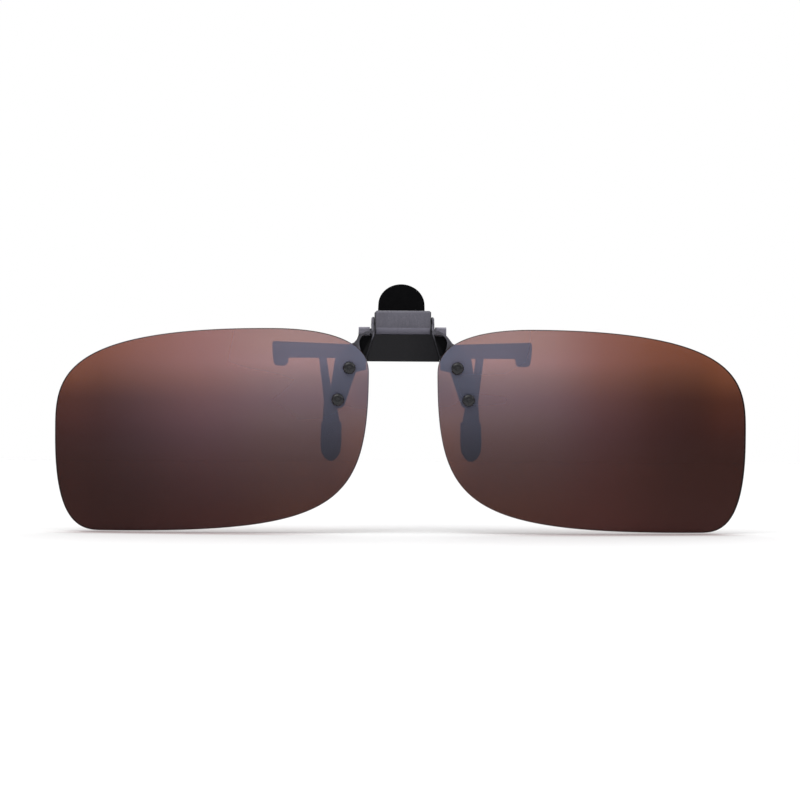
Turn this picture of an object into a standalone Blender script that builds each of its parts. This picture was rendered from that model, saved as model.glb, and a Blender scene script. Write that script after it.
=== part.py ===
# Clip-on sunglasses with flip-up lenses.
#
# Frame: +Z up, lens fronts face -Y, +X is to the right in front view.  The origin lies midway between the clip's
# front hooks and its rear legs, on the level of the bridge bar's lower edge.
# Design dimensions are in millimetres; the objects are in metres.
#
# Three rigid groups:
#   front_clip    block, claw plate, hinge frame, pins and springs
#   lens_carrier  bridge bar, brackets, lenses, rivets; turns on the flip axle
#   rear_jaw      lever, thumb pad, legs, sleeves; turns on the jaw pin

import bpy
import bmesh
import math
from mathutils import Vector, Matrix
from mathutils.geometry import delaunay_2d_cdt

for ob in list(bpy.data.objects):
    bpy.data.objects.remove(ob, do_unlink=True)

MM = 0.001

# ------------------------------------------------------------ dimensions (mm)
# lens outline, one side; heights from the lens centre line
LENS_MID_Z = -13.15
LENS_TOP = (25.0, 19.45)
LENS_OUTER = (66.5, -1.3)
LENS_BOTTOM = (57.8, -19.3)
LENS_NASAL = (6.55, 11.1)
HANDLE_TOP_OUT, HANDLE_OUTER_UP = 42.8, 10.0
HANDLE_OUTER_DOWN, HANDLE_BOTTOM_OUT = 16.2, 4.2
HANDLE_BOTTOM_IN, HANDLE_NASAL_DOWN = 45.1, 26.2
HANDLE_NASAL_UP, HANDLE_TOP_IN = 6.2, 10.5
LENS_T = 1.0
LENS_Y0 = -9.75            # front face at the lens centre
LENS_CX = 36.5
LENS_RH = 130.0            # curve across
LENS_RV = 350.0            # curve up and down
LENS_WRAP = math.tan(math.radians(6.0))

# flip hinge
FLIP_Y, FLIP_Z = -4.6, 7.2
EAR_R = 1.5
EAR_IN, EAR_OUT = 5.47, 6.02
AXLE_R = 0.5
CAM_HALF = 0.72
CAM_LEN = 5.0

# block
BLK_HALF = 5.35
BLK_FRONT, BLK_BACK = -6.8, -0.95
BLK_BOTTOM, BLK_TOP = 5.35, 9.85
BLK_BEVEL_Z = 6.55
BLK_BEVEL_Y = -6.4
BLK_WALL = 0.9
BLK_EDGE = 0.55
SKIRT_HALF = 5.0           # wall behind the bridge bar
SKIRT_FRONT, SKIRT_BACK = -4.6, -3.3
SKIRT_Z = 0.9

# bridge bar
BAR_FRONT, BAR_BACK_TOP, BAR_BACK_LOW = -8.2, -7.25, -6.2
BAR_TOP, BAR_LOW = 5.22, 0.1
BAR_TOP_HALF, BAR_LOW_HALF = 5.45, 7.0

# lens bracket
BR_T = 1.1
BR_GAP = 0.08
RIVET_UP = (10.3, -1.2)
RIVET_LOW = (12.45, -7.25)
RIVET_R, RIVET_HEAD_R, RIVET_HEAD_H = 0.62, 1.2, 0.72
RIVET_HOLE = 0.7

# claw plate
CLAW_FRONT, CLAW_BACK = -3.15, -2.05
CLAW_TIP_X = 24.9
HOOK_IN_X = 21.9
CLAW_TOP, CLAW_LOW, HOOK_LOW = 3.95, 0.75, -0.75
LUG_IN, LUG_OUT, LUG_TOP = 6.3, 8.4, 6.75
PAD_BACK = -0.6

# hinge frame and jaw
FRAME_FRONT, FRAME_BACK = -1.95, -0.85
JAW_Y, JAW_Z = 1.7, 5.35
JAW_PIN_R = 0.5
LUG2_IN, LUG2_OUT, LUG2_R = 6.25, 7.75, 1.25
BARREL_R = 1.3
BARREL_IN, BARREL_OUT = 2.6, 6.1
TAB_LEAN = math.radians(24.0)
TAB_LEN, TAB_HALF, TAB_T = 9.7, 3.65, 1.0
THUMB_HALF, THUMB_WALL = 4.5, 0.55
THUMB_LEN = 6.4
LEG_T = 1.1
LEG_TIP_Z = -17.6
SLEEVE_TOP, SLEEVE_TIP = -11.5, -19.3
SLEEVE_T = 2.2
SLEEVE_X, SLEEVE_Y = 13.6, 1.7    # middle of the sleeve

SEG = 20                   # sides of small round pieces


# ------------------------------------------------------------------ materials
def material(name, rgb, rough, metal=0.0, alpha=1.0):
    m = bpy.data.materials.new(name)
    m.use_nodes = True
    p = m.node_tree.nodes["Principled BSDF"]
    p.inputs["Base Color"].default_value = (*rgb, 1.0)
    p.inputs["Roughness"].default_value = rough
    p.inputs["Metallic"].default_value = metal
    p.inputs["Alpha"].default_value = alpha
    return m


GREY = material("grey_moulded", (0.135, 0.130, 0.155), 0.55)
BLACK = material("black_satin", (0.020, 0.020, 0.024), 0.40)
RUBBER = material("black_rubber", (0.006, 0.006, 0.007), 0.80)
SLEEVE = material("grey_rubber", (0.110, 0.105, 0.125), 0.75)
TINT = material("brown_tint", (0.16, 0.075, 0.060), 0.06, 0.0, 0.75)
RIVET = material("black_rivet", (0.035, 0.035, 0.040), 0.35)
STEEL = material("steel", (0.55, 0.55, 0.56), 0.28, 1.0)


# ------------------------------------------------------------------- modelling
def new_object(name, bm, mat, origin=(0, 0, 0)):
    """Object from a bmesh made in millimetres, its origin at `origin`."""
    o = Vector(origin)
    for v in bm.verts:
        v.co = (v.co - o) * MM
    bmesh.ops.recalc_face_normals(bm, faces=bm.faces)
    me = bpy.data.meshes.new(name)
    bm.to_mesh(me)
    bm.free()
    me.materials.append(mat)
    ob = bpy.data.objects.new(name, me)
    ob.location = o * MM
    bpy.context.scene.collection.objects.link(ob)
    return ob


def inside(p, poly):
    x, y = p
    hit = False
    n = len(poly)
    for i in range(n):
        x1, y1 = poly[i]
        x2, y2 = poly[(i + 1) % n]
        if (y1 > y) != (y2 > y) and x < (x2 - x1) * (y - y1) / (y2 - y1) + x1:
            hit = not hit
    return hit


def sheet(outline, holes=(), front=None, back=None, grid=0.0, margin=0.0):
    """Closed plate whose outline lies in X, Z, between the surfaces
    y = front(x, z) and y = back(x, z).  `grid` adds points inside."""
    verts, edges = [], []
    for loop in [outline, *holes]:
        k = len(verts)
        verts += [Vector(p) for p in loop]
        edges += [(k + i, k + (i + 1) % len(loop)) for i in range(len(loop))]
    if grid:
        xs = [p[0] for p in outline]
        zs = [p[1] for p in outline]
        nx = max(1, round((max(xs) - min(xs)) / grid))
        nz = max(1, round((max(zs) - min(zs)) / grid))
        for i in range(1, nx):
            for j in range(1, nz):
                p = (min(xs) + (max(xs) - min(xs)) * i / nx,
                     min(zs) + (max(zs) - min(zs)) * j / nz)
                if not inside(p, outline) or any(inside(p, h) for h in holes):
                    continue
                if min((Vector(p) - q).length for q in verts[:len(outline) + sum(map(len, holes))]) < margin:
                    continue
                verts.append(Vector(p))
    co, _, faces, *_ = delaunay_2d_cdt(verts, edges, [], 1, 1e-5)
    tris = []
    for f in faces:
        c = sum((co[i] for i in f), Vector((0, 0))) / len(f)
        if inside(c, outline) and not any(inside(c, h) for h in holes):
            tris.append(list(f))
    bm = bmesh.new()
    fv = [bm.verts.new((p[0], front(p[0], p[1]), p[1])) for p in co]
    bv = [bm.verts.new((p[0], back(p[0], p[1]), p[1])) for p in co]
    count = {}
    for t in tris:
        bm.faces.new([fv[i] for i in t])
        bm.faces.new([bv[i] for i in reversed(t)])
        for a, b in zip(t, t[1:] + t[:1]):
            count[(a, b)] = count.get((a, b), 0) + 1
    for (a, b) in count:
        if (b, a) not in count:
            bm.faces.new((fv[b], fv[a], bv[a], bv[b]))
    bmesh.ops.delete(bm, geom=[v for v in bm.verts if not v.link_faces], context='VERTS')
    return bm


def flat(y):
    return lambda x, z: y


def prism(axis, profile, lo, hi):
    """Closed prism of a 2-D profile run along X, Y or Z from lo to hi."""
    def at(p, t):
        a, b = p
        return {"X": (t, a, b), "Y": (a, t, b), "Z": (a, b, t)}[axis]
    bm = bmesh.new()
    one = [bm.verts.new(at(p, lo)) for p in profile]
    two = [bm.verts.new(at(p, hi)) for p in profile]
    n = len(profile)
    bm.faces.new(one)
    bm.faces.new(list(reversed(two)))
    for i in range(n):
        bm.faces.new((one[i], two[i], two[(i + 1) % n], one[(i + 1) % n]))
    bmesh.ops.recalc_face_normals(bm, faces=bm.faces)
    return bm


def circle(cx, cy, r, n=SEG, start=0.0):
    return [(cx + r * math.cos(start + 2 * math.pi * i / n),
             cy + r * math.sin(start + 2 * math.pi * i / n)) for i in range(n)]


def arc(cx, cy, r, a0, a1, n):
    """Points on a circle from angle a0 to a1 (degrees), both ends included."""
    return [(cx + r * math.cos(math.radians(a0 + (a1 - a0) * i / n)),
             cy + r * math.sin(math.radians(a0 + (a1 - a0) * i / n))) for i in range(n + 1)]


def round_corners(poly, radii, n=3):
    """Polygon with its corners rounded; radii is one number or one for each."""
    if not hasattr(radii, "__len__"):
        radii = [radii] * len(poly)
    out = []
    m = len(poly)
    for i in range(m):
        p = Vector(poly[i])
        a = Vector(poly[i - 1]) - p
        b = Vector(poly[(i + 1) % m]) - p
        r = radii[i]
        if r <= 0:
            out.append(tuple(p))
            continue
        half = a.angle(b) / 2
        cut = min(r / math.tan(half), a.length * 0.49, b.length * 0.49)
        r = cut * math.tan(half)
        start, end = p + a.normalized() * cut, p + b.normalized() * cut
        centre = p + (a.normalized() + b.normalized()).normalized() * (r / math.sin(half))
        s, e = start - centre, end - centre
        turn = s.angle_signed(e)
        for k in range(n + 1):
            c, t = math.cos(-turn * k / n), math.sin(-turn * k / n)
            out.append((centre.x + s.x * c - s.y * t, centre.y + s.x * t + s.y * c))
    return out


def spin(profile, axis_point, axis, n=SEG):
    """Closed turned body: profile points are (distance along axis, radius);
    both ends lie on the axis."""
    ax = Vector(axis).normalized()
    u = ax.orthogonal().normalized()
    w = ax.cross(u)
    o = Vector(axis_point)
    bm = bmesh.new()
    rings = []
    for t, r in profile:
        if r < 1e-6:
            rings.append([bm.verts.new(o + ax * t)])
        else:
            rings.append([bm.verts.new(o + ax * t + (u * math.cos(2 * math.pi * k / n)
                                                    + w * math.sin(2 * math.pi * k / n)) * r)
                          for k in range(n)])
    for a, b in zip(rings, rings[1:]):
        for k in range(n):
            k2 = (k + 1) % n
            if len(a) == 1:
                bm.faces.new((a[0], b[k], b[k2]))
            elif len(b) == 1:
                bm.faces.new((a[k], b[0], a[k2]))
            else:
                bm.faces.new((a[k], b[k], b[k2], a[k2]))
    bmesh.ops.recalc_face_normals(bm, faces=bm.faces)
    return bm


def tube(points, r, n=8):
    """Closed round wire through the points, with flat ends."""
    pts = [Vector(p) for p in points]
    bm = bmesh.new()
    rings = []
    side = None
    for i, p in enumerate(pts):
        d = (pts[min(i + 1, len(pts) - 1)] - pts[max(i - 1, 0)]).normalized()
        side = d.orthogonal() if side is None else side - d * side.dot(d)
        side.normalize()
        w = d.cross(side)
        rings.append([bm.verts.new(p + (side * math.cos(2 * math.pi * k / n)
                                        + w * math.sin(2 * math.pi * k / n)) * r) for k in range(n)])
    for a, b in zip(rings, rings[1:]):
        for k in range(n):
            bm.faces.new((a[k], b[k], b[(k + 1) % n], a[(k + 1) % n]))
    bm.faces.new(list(reversed(rings[0])))
    bm.faces.new(rings[-1])
    bmesh.ops.recalc_face_normals(bm, faces=bm.faces)
    return bm


def cutter(name, bm):
    bmesh.ops.recalc_face_normals(bm, faces=bm.faces)
    ob = new_object("cut_" + name, bm, STEEL)
    ob.hide_render = True
    ob.display_type = 'WIRE'
    return ob


def boolean(ob, other, op='DIFFERENCE'):
    m = ob.modifiers.new(op.lower(), 'BOOLEAN')
    m.operation = op
    m.solver = 'EXACT'
    m.object = other


def mirror_x(bm):
    for v in bm.verts:
        v.co.x = -v.co.x
    bmesh.ops.reverse_faces(bm, faces=bm.faces)
    return bm


def sided(name, make, mat, origin=(0, 0, 0)):
    """The right-hand piece and its mirrored left-hand one."""
    new_object(name + "_right", make(), mat, origin)
    new_object(name + "_left", mirror_x(make()), mat, (-origin[0], origin[1], origin[2]))


def join_into(bm, other):
    """Adds another bmesh's geometry, for cutters made of several bodies."""
    me = bpy.data.meshes.new("tmp")
    other.to_mesh(me)
    other.free()
    bm.from_mesh(me)
    bpy.data.meshes.remove(me)
    return bm


# ------------------------------------------------------------------ lens shape
def bezier(a, b, c, d, n):
    out = []
    for i in range(n):
        t = i / n
        s = 1 - t
        out.append(tuple(s ** 3 * a[k] + 3 * s * s * t * b[k] + 3 * s * t * t * c[k] + t ** 3 * d[k]
                         for k in range(2)))
    return out


def lens_outline(n=(22, 14, 16, 12), inset=0.0):
    t, o, b, m = LENS_TOP, LENS_OUTER, LENS_BOTTOM, LENS_NASAL
    pts = bezier(t, (t[0] + HANDLE_TOP_OUT, t[1]), (o[0], o[1] + HANDLE_OUTER_UP), o, n[0])
    pts += bezier(o, (o[0], o[1] - HANDLE_OUTER_DOWN), (b[0] + HANDLE_BOTTOM_OUT, b[1]), b, n[1])
    pts += bezier(b, (b[0] - HANDLE_BOTTOM_IN, b[1]), (m[0], m[1] - HANDLE_NASAL_DOWN), m, n[2])
    pts += bezier(m, (m[0], m[1] + HANDLE_NASAL_UP), (t[0] - HANDLE_TOP_IN, t[1]), t, n[3])
    return [(x, z + LENS_MID_Z) for x, z in pts]


def lens_front(x, z):
    d = x - LENS_CX
    h = z - LENS_MID_Z
    return LENS_Y0 + LENS_WRAP * d + d * d / (2 * LENS_RH) + h * h / (2 * LENS_RV)


def lens_back(x, z):
    return lens_front(x, z) + LENS_T


def make_lens():
    holes = [circle(*RIVET_UP, RIVET_HOLE, 12), circle(*RIVET_LOW, RIVET_HOLE, 12)]
    return sheet(lens_outline(), holes, lens_front, lens_back, grid=7.0, margin=2.6)


sided("lens", make_lens, TINT)


# ---------------------------------------------------------------- lens bracket
def bracket_front(x, z):
    """Follows the lens's back, and turns flat towards the bridge bar."""
    f = min(1.0, max(0.0, (x - 6.6) / 2.6))
    f = f * f * (3 - 2 * f)
    return (lens_back(x, z) + BR_GAP) * f + (BAR_FRONT + 0.02) * (1 - f)


def bracket_back(x, z):
    return bracket_front(x, z) + BR_T


ARM_TOP = [(5.56, 6.02), (6.3, 6.0), (7.1, 5.8), (7.8, 5.42), (8.4, 4.9), (8.95, 4.2),
           (9.6, 3.4), (10.9, 2.45), (12.2, 1.5), (12.95, 0.6)]


def slant(z):
    """Half-width of the bridge bar at height z."""
    return BAR_TOP_HALF + (BAR_LOW_HALF - BAR_TOP_HALF) * (BAR_TOP - z) / (BAR_TOP - BAR_LOW)


def bracket_outline():
    pts = list(ARM_TOP)
    pts += [(13.35, -1.9), (13.7, -4.3), (14.0, -6.6)]
    pts += arc(RIVET_LOW[0], RIVET_LOW[1] - 0.1, 1.55, 10, -150, 7)
    pts += [(10.35, -5.9), (9.45, -3.2), (9.0, -1.95)]
    pts += [(8.6, -1.6), (7.45, -1.6), (7.12, -1.25)]
    pts += [(slant(0.1) + 0.1, 0.1), (slant(2.6) + 0.1, 2.6), (5.56, BAR_TOP)]
    return pts


# opening between the arm's lip and its inner web
POCKET = [(slant(5.2) + 0.45, 5.2), (6.2, 5.45), (6.9, 5.4), (7.6, 5.05), (8.1, 4.5), (8.35, 3.7), (8.25, 2.8),
          (7.95, 1.95), (7.6, 1.3), (slant(1.2) + 0.42, 1.2), (slant(2.2) + 0.42, 2.2), (slant(3.7) + 0.42, 3.7)]


def make_bracket():
    holes = [circle(*RIVET_UP, RIVET_HOLE, 12), circle(*RIVET_LOW, RIVET_HOLE, 12), POCKET]
    return sheet(bracket_outline(), holes, bracket_front, bracket_back, grid=1.6, margin=0.75)


def make_ear():
    """Hinge ear beside the block: a round eye with a web down to the arm."""
    eye = arc(FLIP_Y, FLIP_Z, EAR_R, -55, 160, 12)
    web = [(-7.6, 6.05), (-8.15, 5.8), (-8.15, 5.3), (-7.0, 5.3), (-5.9, 5.55)]
    return prism("X", eye + web, EAR_IN, EAR_OUT)


for side, sx in (("right", 1), ("left", -1)):
    def flip(bm, sx=sx):
        return bm if sx == 1 else mirror_x(bm)
    pivot = (0, FLIP_Y, FLIP_Z)
    br = new_object("lens_bracket_" + side, flip(make_bracket()), GREY, pivot)
    ear = cutter("ear_" + side, flip(make_ear()))
    hole = cutter("ear_hole_" + side, flip(prism("X", circle(FLIP_Y, FLIP_Z, AXLE_R + 0.03, SEG), 5.2, 6.4)))
    boolean(br, ear, 'UNION')
    boolean(br, hole)

# ---------------------------------------------------------------- lens rivets
def rivet_profile(x, z):
    """Dome in front, shank through lens and bracket, low head behind."""
    front, back = lens_front(x, z), bracket_back(x, z)
    g = 0.15                # the lens leans a little under the straight rivet
    r, h = RIVET_HEAD_R, RIVET_HEAD_H
    dome = [(front - g - h, 0.0)]
    for a in (65, 42, 22, 6):
        dome.append((front - g - h * math.sin(math.radians(a)) * 0.985, r * math.cos(math.radians(a))))
    dome += [(front - g, r), (front - g, RIVET_R), (back + g, RIVET_R), (back + g, 1.0),
             (back + g + 0.3, 0.92), (back + g + 0.42, 0.6), (back + g + 0.42, 0.0)]
    return dome


for label, (rx, rz) in (("upper", RIVET_UP), ("lower", RIVET_LOW)):
    for side, sx in (("right", 1), ("left", -1)):
        bm = spin(rivet_profile(rx, rz), (0, 0, 0), (0, 1, 0), 16)
        bmesh.ops.transform(bm, matrix=Matrix.Translation((sx * rx, 0, rz)), verts=bm.verts)
        new_object("rivet_%s_%s" % (label, side), bm, RIVET, (sx * rx, lens_front(rx, rz), rz))

# ------------------------------------------------------------------ bridge bar
bm = bmesh.new()
rings = []
for z, half, back in ((BAR_TOP, BAR_TOP_HALF, BAR_BACK_TOP), (BAR_LOW, BAR_LOW_HALF, BAR_BACK_LOW)):
    rings.append([bm.verts.new(p) for p in ((-half, BAR_FRONT, z), (half, BAR_FRONT, z),
                                            (half, back, z), (-half, back, z))])
for k in range(4):
    bm.faces.new((rings[0][k], rings[0][(k + 1) % 4], rings[1][(k + 1) % 4], rings[1][k]))
bm.faces.new(rings[0])
bm.faces.new(rings[1])
bridge = new_object("flip_bridge", bm, BLACK, (0, FLIP_Y, FLIP_Z))
# wings that back the pockets of the two brackets
WING_FRONT, WING_BACK = -6.9, -6.3
for s in (1, -1):
    wing = [(4.9, 0.75), (8.0, 0.75), (8.85, 2.6), (8.8, 4.2), (8.2, 5.0), (5.8, 5.0), (4.9, 4.0)]
    wing = [(s * x, z) for x, z in wing]
    boolean(bridge, cutter("wing_%d" % (s > 0), prism("Y", wing, WING_FRONT, WING_BACK)), 'UNION')

# ------------------------------------------------------------ flip axle and cam
L = 6.08
new_object("flip_axle", spin([(-L, 0), (-L, 0.34), (-L + 0.12, AXLE_R), (L - 0.12, AXLE_R), (L, 0.34), (L, 0)],
                             (0, FLIP_Y, FLIP_Z), (1, 0, 0)), STEEL, (0, FLIP_Y, FLIP_Z))
h = CAM_HALF
cam_sq = round_corners([(FLIP_Y - h, FLIP_Z - h), (FLIP_Y + h, FLIP_Z - h),
                        (FLIP_Y + h, FLIP_Z + h), (FLIP_Y - h, FLIP_Z + h)], 0.3, 2)
cam = new_object("flip_cam", prism("X", cam_sq, -CAM_LEN / 2, CAM_LEN / 2), STEEL, (0, FLIP_Y, FLIP_Z))
boolean(cam, cutter("cam_bore", prism("X", circle(FLIP_Y, FLIP_Z, AXLE_R + 0.03), -4, 4)))

# ------------------------------------------------------------------------ block
e = BLK_EDGE
shell = [(SKIRT_BACK, SKIRT_Z), (SKIRT_BACK, BLK_BOTTOM), (BLK_BACK, BLK_BOTTOM), (BLK_BACK, BLK_TOP - 0.3),
         (BLK_BACK - 0.3, BLK_TOP)]
shell += arc(BLK_FRONT + e, BLK_TOP - e, e, 90, 180, 4)
shell += [(BLK_FRONT, BLK_BEVEL_Z), (BLK_BEVEL_Y, BLK_BOTTOM), (SKIRT_FRONT, BLK_BOTTOM), (SKIRT_FRONT, SKIRT_Z)]
housing = new_object("front_housing", prism("X", shell, -BLK_HALF, BLK_HALF), GREY)
# skirt behind the bridge bar is a little narrower than the block
for s in (1, -1):
    side_cut = prism("X", [(-7.5, 0), (0, 0), (0, BLK_BOTTOM - 0.02), (-7.5, BLK_BOTTOM - 0.02)],
                     min(s * SKIRT_HALF, s * 7), max(s * SKIRT_HALF, s * 7))
    boolean(housing, cutter("skirt_%d" % (s > 0), side_cut))
# cavity, open at the back
w = BLK_WALL
cav = prism("X", round_corners([(BLK_FRONT + w, BLK_BOTTOM + w), (BLK_BACK + 1, BLK_BOTTOM + w),
                                (BLK_BACK + 1, BLK_TOP - w), (BLK_FRONT + w, BLK_TOP - w)], 0.2, 1),
            -(BLK_HALF - w), BLK_HALF - w)
boolean(housing, cutter("cavity", cav))
boolean(housing, cutter("axle_bore", prism("X", circle(FLIP_Y, FLIP_Z, AXLE_R + 0.06), -7, 7)))
FR_X, FR_Z = 3.4, 3.1
for s in (1, -1):
    boolean(housing, cutter("skirt_hole_%d" % (s > 0),
                            prism("Y", circle(s * FR_X, FR_Z, 0.62, 14), -6, -3)))

# ------------------------------------------------------------------- claw plate
half = [(0, SKIRT_Z), (8.0, CLAW_LOW), (HOOK_IN_X - 0.2, CLAW_LOW + 0.05), (HOOK_IN_X, CLAW_LOW - 0.15),
        (HOOK_IN_X, -0.15), (HOOK_IN_X + 0.6, HOOK_LOW), (CLAW_TIP_X - 0.75, HOOK_LOW),
        (CLAW_TIP_X - 0.2, -0.2), (CLAW_TIP_X + 0.05, 1.7), (CLAW_TIP_X + 0.1, 3.65),
        (CLAW_TIP_X - 0.2, CLAW_TOP), (10.2, 3.45), (9.3, 3.75), (8.75, 4.4), (LUG_OUT + 0.05, 5.2), (LUG_OUT, LUG_TOP - 0.25),
        (LUG_OUT - 0.25, LUG_TOP), (LUG_IN + 0.25, LUG_TOP), (LUG_IN, LUG_TOP - 0.25), (LUG_IN, BLK_BOTTOM - 0.3),
        (0, BLK_BOTTOM - 0.3)]
outline = half[1:-1] + [(-x, z) for x, z in reversed(half[1:-1])]
claw = new_object("claw_plate", sheet(outline, [circle(FR_X, FR_Z, 0.62, 12), circle(-FR_X, FR_Z, 0.62, 12)],
                                      flat(CLAW_FRONT), flat(CLAW_BACK)), GREY)
# knuckles beside the block, thicker towards the front
LUG_FRONT, LUG_LOW = -4.3, 4.7
for s in (1, -1):
    lo, hi = sorted((s * LUG_IN, s * LUG_OUT))
    knuckle = [(CLAW_BACK, LUG_LOW), (CLAW_BACK, LUG_TOP), (LUG_FRONT + 0.3, LUG_TOP), (LUG_FRONT, LUG_TOP - 0.3),
               (LUG_FRONT, LUG_LOW + 0.6), (CLAW_FRONT - 0.2, LUG_LOW)]
    boolean(claw, cutter("knuckle_%d" % (s > 0), prism("X", knuckle, lo, hi)), 'UNION')

# soft pads on the backs of the hooks
def make_hook_pad():
    pts = round_corners([(HOOK_IN_X + 0.2, HOOK_LOW + 0.1), (CLAW_TIP_X - 0.25, HOOK_LOW + 0.1),
                         (CLAW_TIP_X - 0.1, 3.3), (HOOK_IN_X + 0.2, 3.3)], 0.5, 3)
    return prism("Y", pts, CLAW_BACK + 0.06, PAD_BACK)


sided("hook_pad", make_hook_pad, SLEEVE, (23.4, PAD_BACK, 1.3))

# ------------------------------------------------------------------ hinge frame
base = [(5.9, 0.95), (5.9, 3.4), (LUG2_OUT, 4.2), (LUG2_OUT, 6.4), (5.6, 6.4), (5.6, 5.1), (-5.6, 5.1), (-5.6, 6.4),
        (-LUG2_OUT, 6.4), (-LUG2_OUT, 4.2), (-5.9, 3.4), (-5.9, 0.95)]
frame_ob = new_object("hinge_frame", sheet(base, [circle(FR_X, FR_Z, 0.62, 12), circle(-FR_X, FR_Z, 0.62, 12)],
                                           flat(FRAME_FRONT), flat(FRAME_BACK)), GREY)
for s in (1, -1):
    lug = [(FRAME_BACK - 0.5, 4.3)] + arc(JAW_Y, JAW_Z, LUG2_R, -70, 110, 10) + [(FRAME_BACK - 0.5, 6.3)]
    lo, hi = sorted((s * LUG2_IN, s * LUG2_OUT))
    boolean(frame_ob, cutter("lug_%d" % (s > 0), prism("X", lug, lo, hi)), 'UNION')
boolean(frame_ob, cutter("pin_bore", prism("X", circle(JAW_Y, JAW_Z, JAW_PIN_R + 0.03), -9, 9)))

# rivets through block skirt, claw plate and hinge frame
def make_frame_rivet():
    a, b = SKIRT_FRONT - 0.07, FRAME_BACK + 0.07
    return spin([(a - 0.45, 0), (a - 0.4, 0.6), (a - 0.15, 0.95), (a, 0.95), (a, 0.55), (b, 0.55), (b, 0.95),
                 (b + 0.2, 0.9), (b + 0.42, 0.55), (b + 0.45, 0)], (FR_X, 0, FR_Z), (0, 1, 0), 14)


sided("frame_rivet", make_frame_rivet, STEEL, (FR_X, FRAME_BACK, FR_Z))

# --------------------------------------------------------------------- jaw pin
P = LUG2_OUT + 0.25
new_object("jaw_pin", spin([(-P, 0), (-P, 0.36), (-P + 0.12, JAW_PIN_R), (P - 0.12, JAW_PIN_R), (P, 0.36), (P, 0)],
                           (0, JAW_Y, JAW_Z), (1, 0, 0)), STEEL, (0, JAW_Y, JAW_Z))


# ------------------------------------------------------------------- jaw lever
def along_tab(t, off):
    """Point on the tab: t along it from the jaw pin, off towards its back."""
    return (JAW_Y + t * math.sin(TAB_LEAN) + off * math.cos(TAB_LEAN),
            JAW_Z + t * math.cos(TAB_LEAN) - off * math.sin(TAB_LEAN))


def tab_plane(bm, centre_t=0.0):
    """Moves a body drawn upright (X across, Y thick, Z along) onto the tab."""
    rot = Matrix.Translation((0, JAW_Y, JAW_Z)) @ Matrix.Rotation(-TAB_LEAN, 4, 'X')
    bmesh.ops.transform(bm, matrix=rot, verts=bm.verts)
    return bm


# the lever's flange below the barrel, which the legs slot into
FLANGE_LOW = 1.35
FLANGE_Y0, FLANGE_Y1 = 0.55, 3.25
prof = [(FLANGE_Y0, FLANGE_LOW), (FLANGE_Y1, FLANGE_LOW), (FLANGE_Y1, JAW_Z - 0.4)]
prof += arc(JAW_Y, JAW_Z, BARREL_R, 0, 180, 10)
prof += [(FLANGE_Y0 - 0.15, JAW_Z - 0.6), (FLANGE_Y0 - 0.1, 4.4)]
lever = new_object("jaw_lever", prism("X", prof, -BARREL_OUT, BARREL_OUT), GREY, (0, JAW_Y, JAW_Z))
tab = prism("Y", [(-TAB_HALF, 0.2), (TAB_HALF, 0.2), (TAB_HALF, TAB_LEN - TAB_HALF)]
            + arc(0, TAB_LEN - TAB_HALF, TAB_HALF, 15, 165, 10) + [(-TAB_HALF, TAB_LEN - TAB_HALF)],
            -TAB_T / 2, TAB_T / 2)
boolean(lever, cutter("tab", tab_plane(tab)), 'UNION')
# room for the spring in the middle, room for the legs' tongues, pin bore
room = prism("X", [(-0.6, 3.6), (3.05, 3.6)] + arc(JAW_Y, JAW_Z, 1.75, -20, 70, 8)
             + [(1.0, 7.3), (-0.6, 7.3)], -2.3, 2.3)
boolean(lever, cutter("spring_room", room))
for s in (1, -1):
    lo, hi = sorted((s * 0.55, s * 7))
    boolean(lever, cutter("leg_slot_%d" % (s > 0),
                          prism("X", [(1.25, 0), (2.55, 0), (2.55, 3.3), (1.25, 3.3)], lo, hi)))
boolean(lever, cutter("lever_bore", prism("X", circle(JAW_Y, JAW_Z, JAW_PIN_R + 0.06), -9, 9)))


# --------------------------------------------------------------------- thumb pad
def make_thumb(half, length, t, grow_low):
    return prism("Y", [(-half, grow_low), (half, grow_low), (half, length - half)]
                 + arc(0, length - half, half, 12, 168, 14) + [(-half, length - half)], -t / 2, t / 2)


top_t = TAB_LEN + 0.15 + THUMB_WALL
pad = new_object("thumb_pad", tab_plane(make_thumb(THUMB_HALF, top_t, TAB_T + 2 * THUMB_WALL + 0.2, top_t - THUMB_LEN)),
                 RUBBER, (0, JAW_Y, JAW_Z))
boolean(pad, cutter("pad_pocket", tab_plane(make_thumb(TAB_HALF + 0.1, TAB_LEN + 0.1, TAB_T + 0.2, -1.0))))


# ------------------------------------------------------------------------- legs
def leg_mid(z):
    """Middle of the leg's thickness: it comes forward on its way down."""
    f = min(1.0, max(0.0, (1.0 - z) / 10.0))
    f = f * f * (3 - 2 * f)
    return 1.9 * (1 - f) + SLEEVE_Y * f


def make_leg():
    pts = [(0.65, 1.75), (0.65, 3.2), (15.6, 3.2), (16.1, 2.7), (15.95, 0.7), (15.35, -4.0), (14.95, -7.5),
           (15.2, -11.2), (15.1, -14.5), (14.75, -16.6), (13.6, LEG_TIP_Z), (12.35, -16.6), (12.05, -14.5),
           (11.95, -11.2), (12.45, -8.5), (13.4, -5.6), (14.0, -2.5), (14.45, 0.7), (14.2, 1.75)]
    return sheet(pts, [], lambda x, z: leg_mid(z) - LEG_T / 2, lambda x, z: leg_mid(z) + LEG_T / 2,
                 grid=1.9, margin=0.8)


sided("rear_leg", make_leg, GREY, (13.4, SLEEVE_Y, 0))


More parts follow.
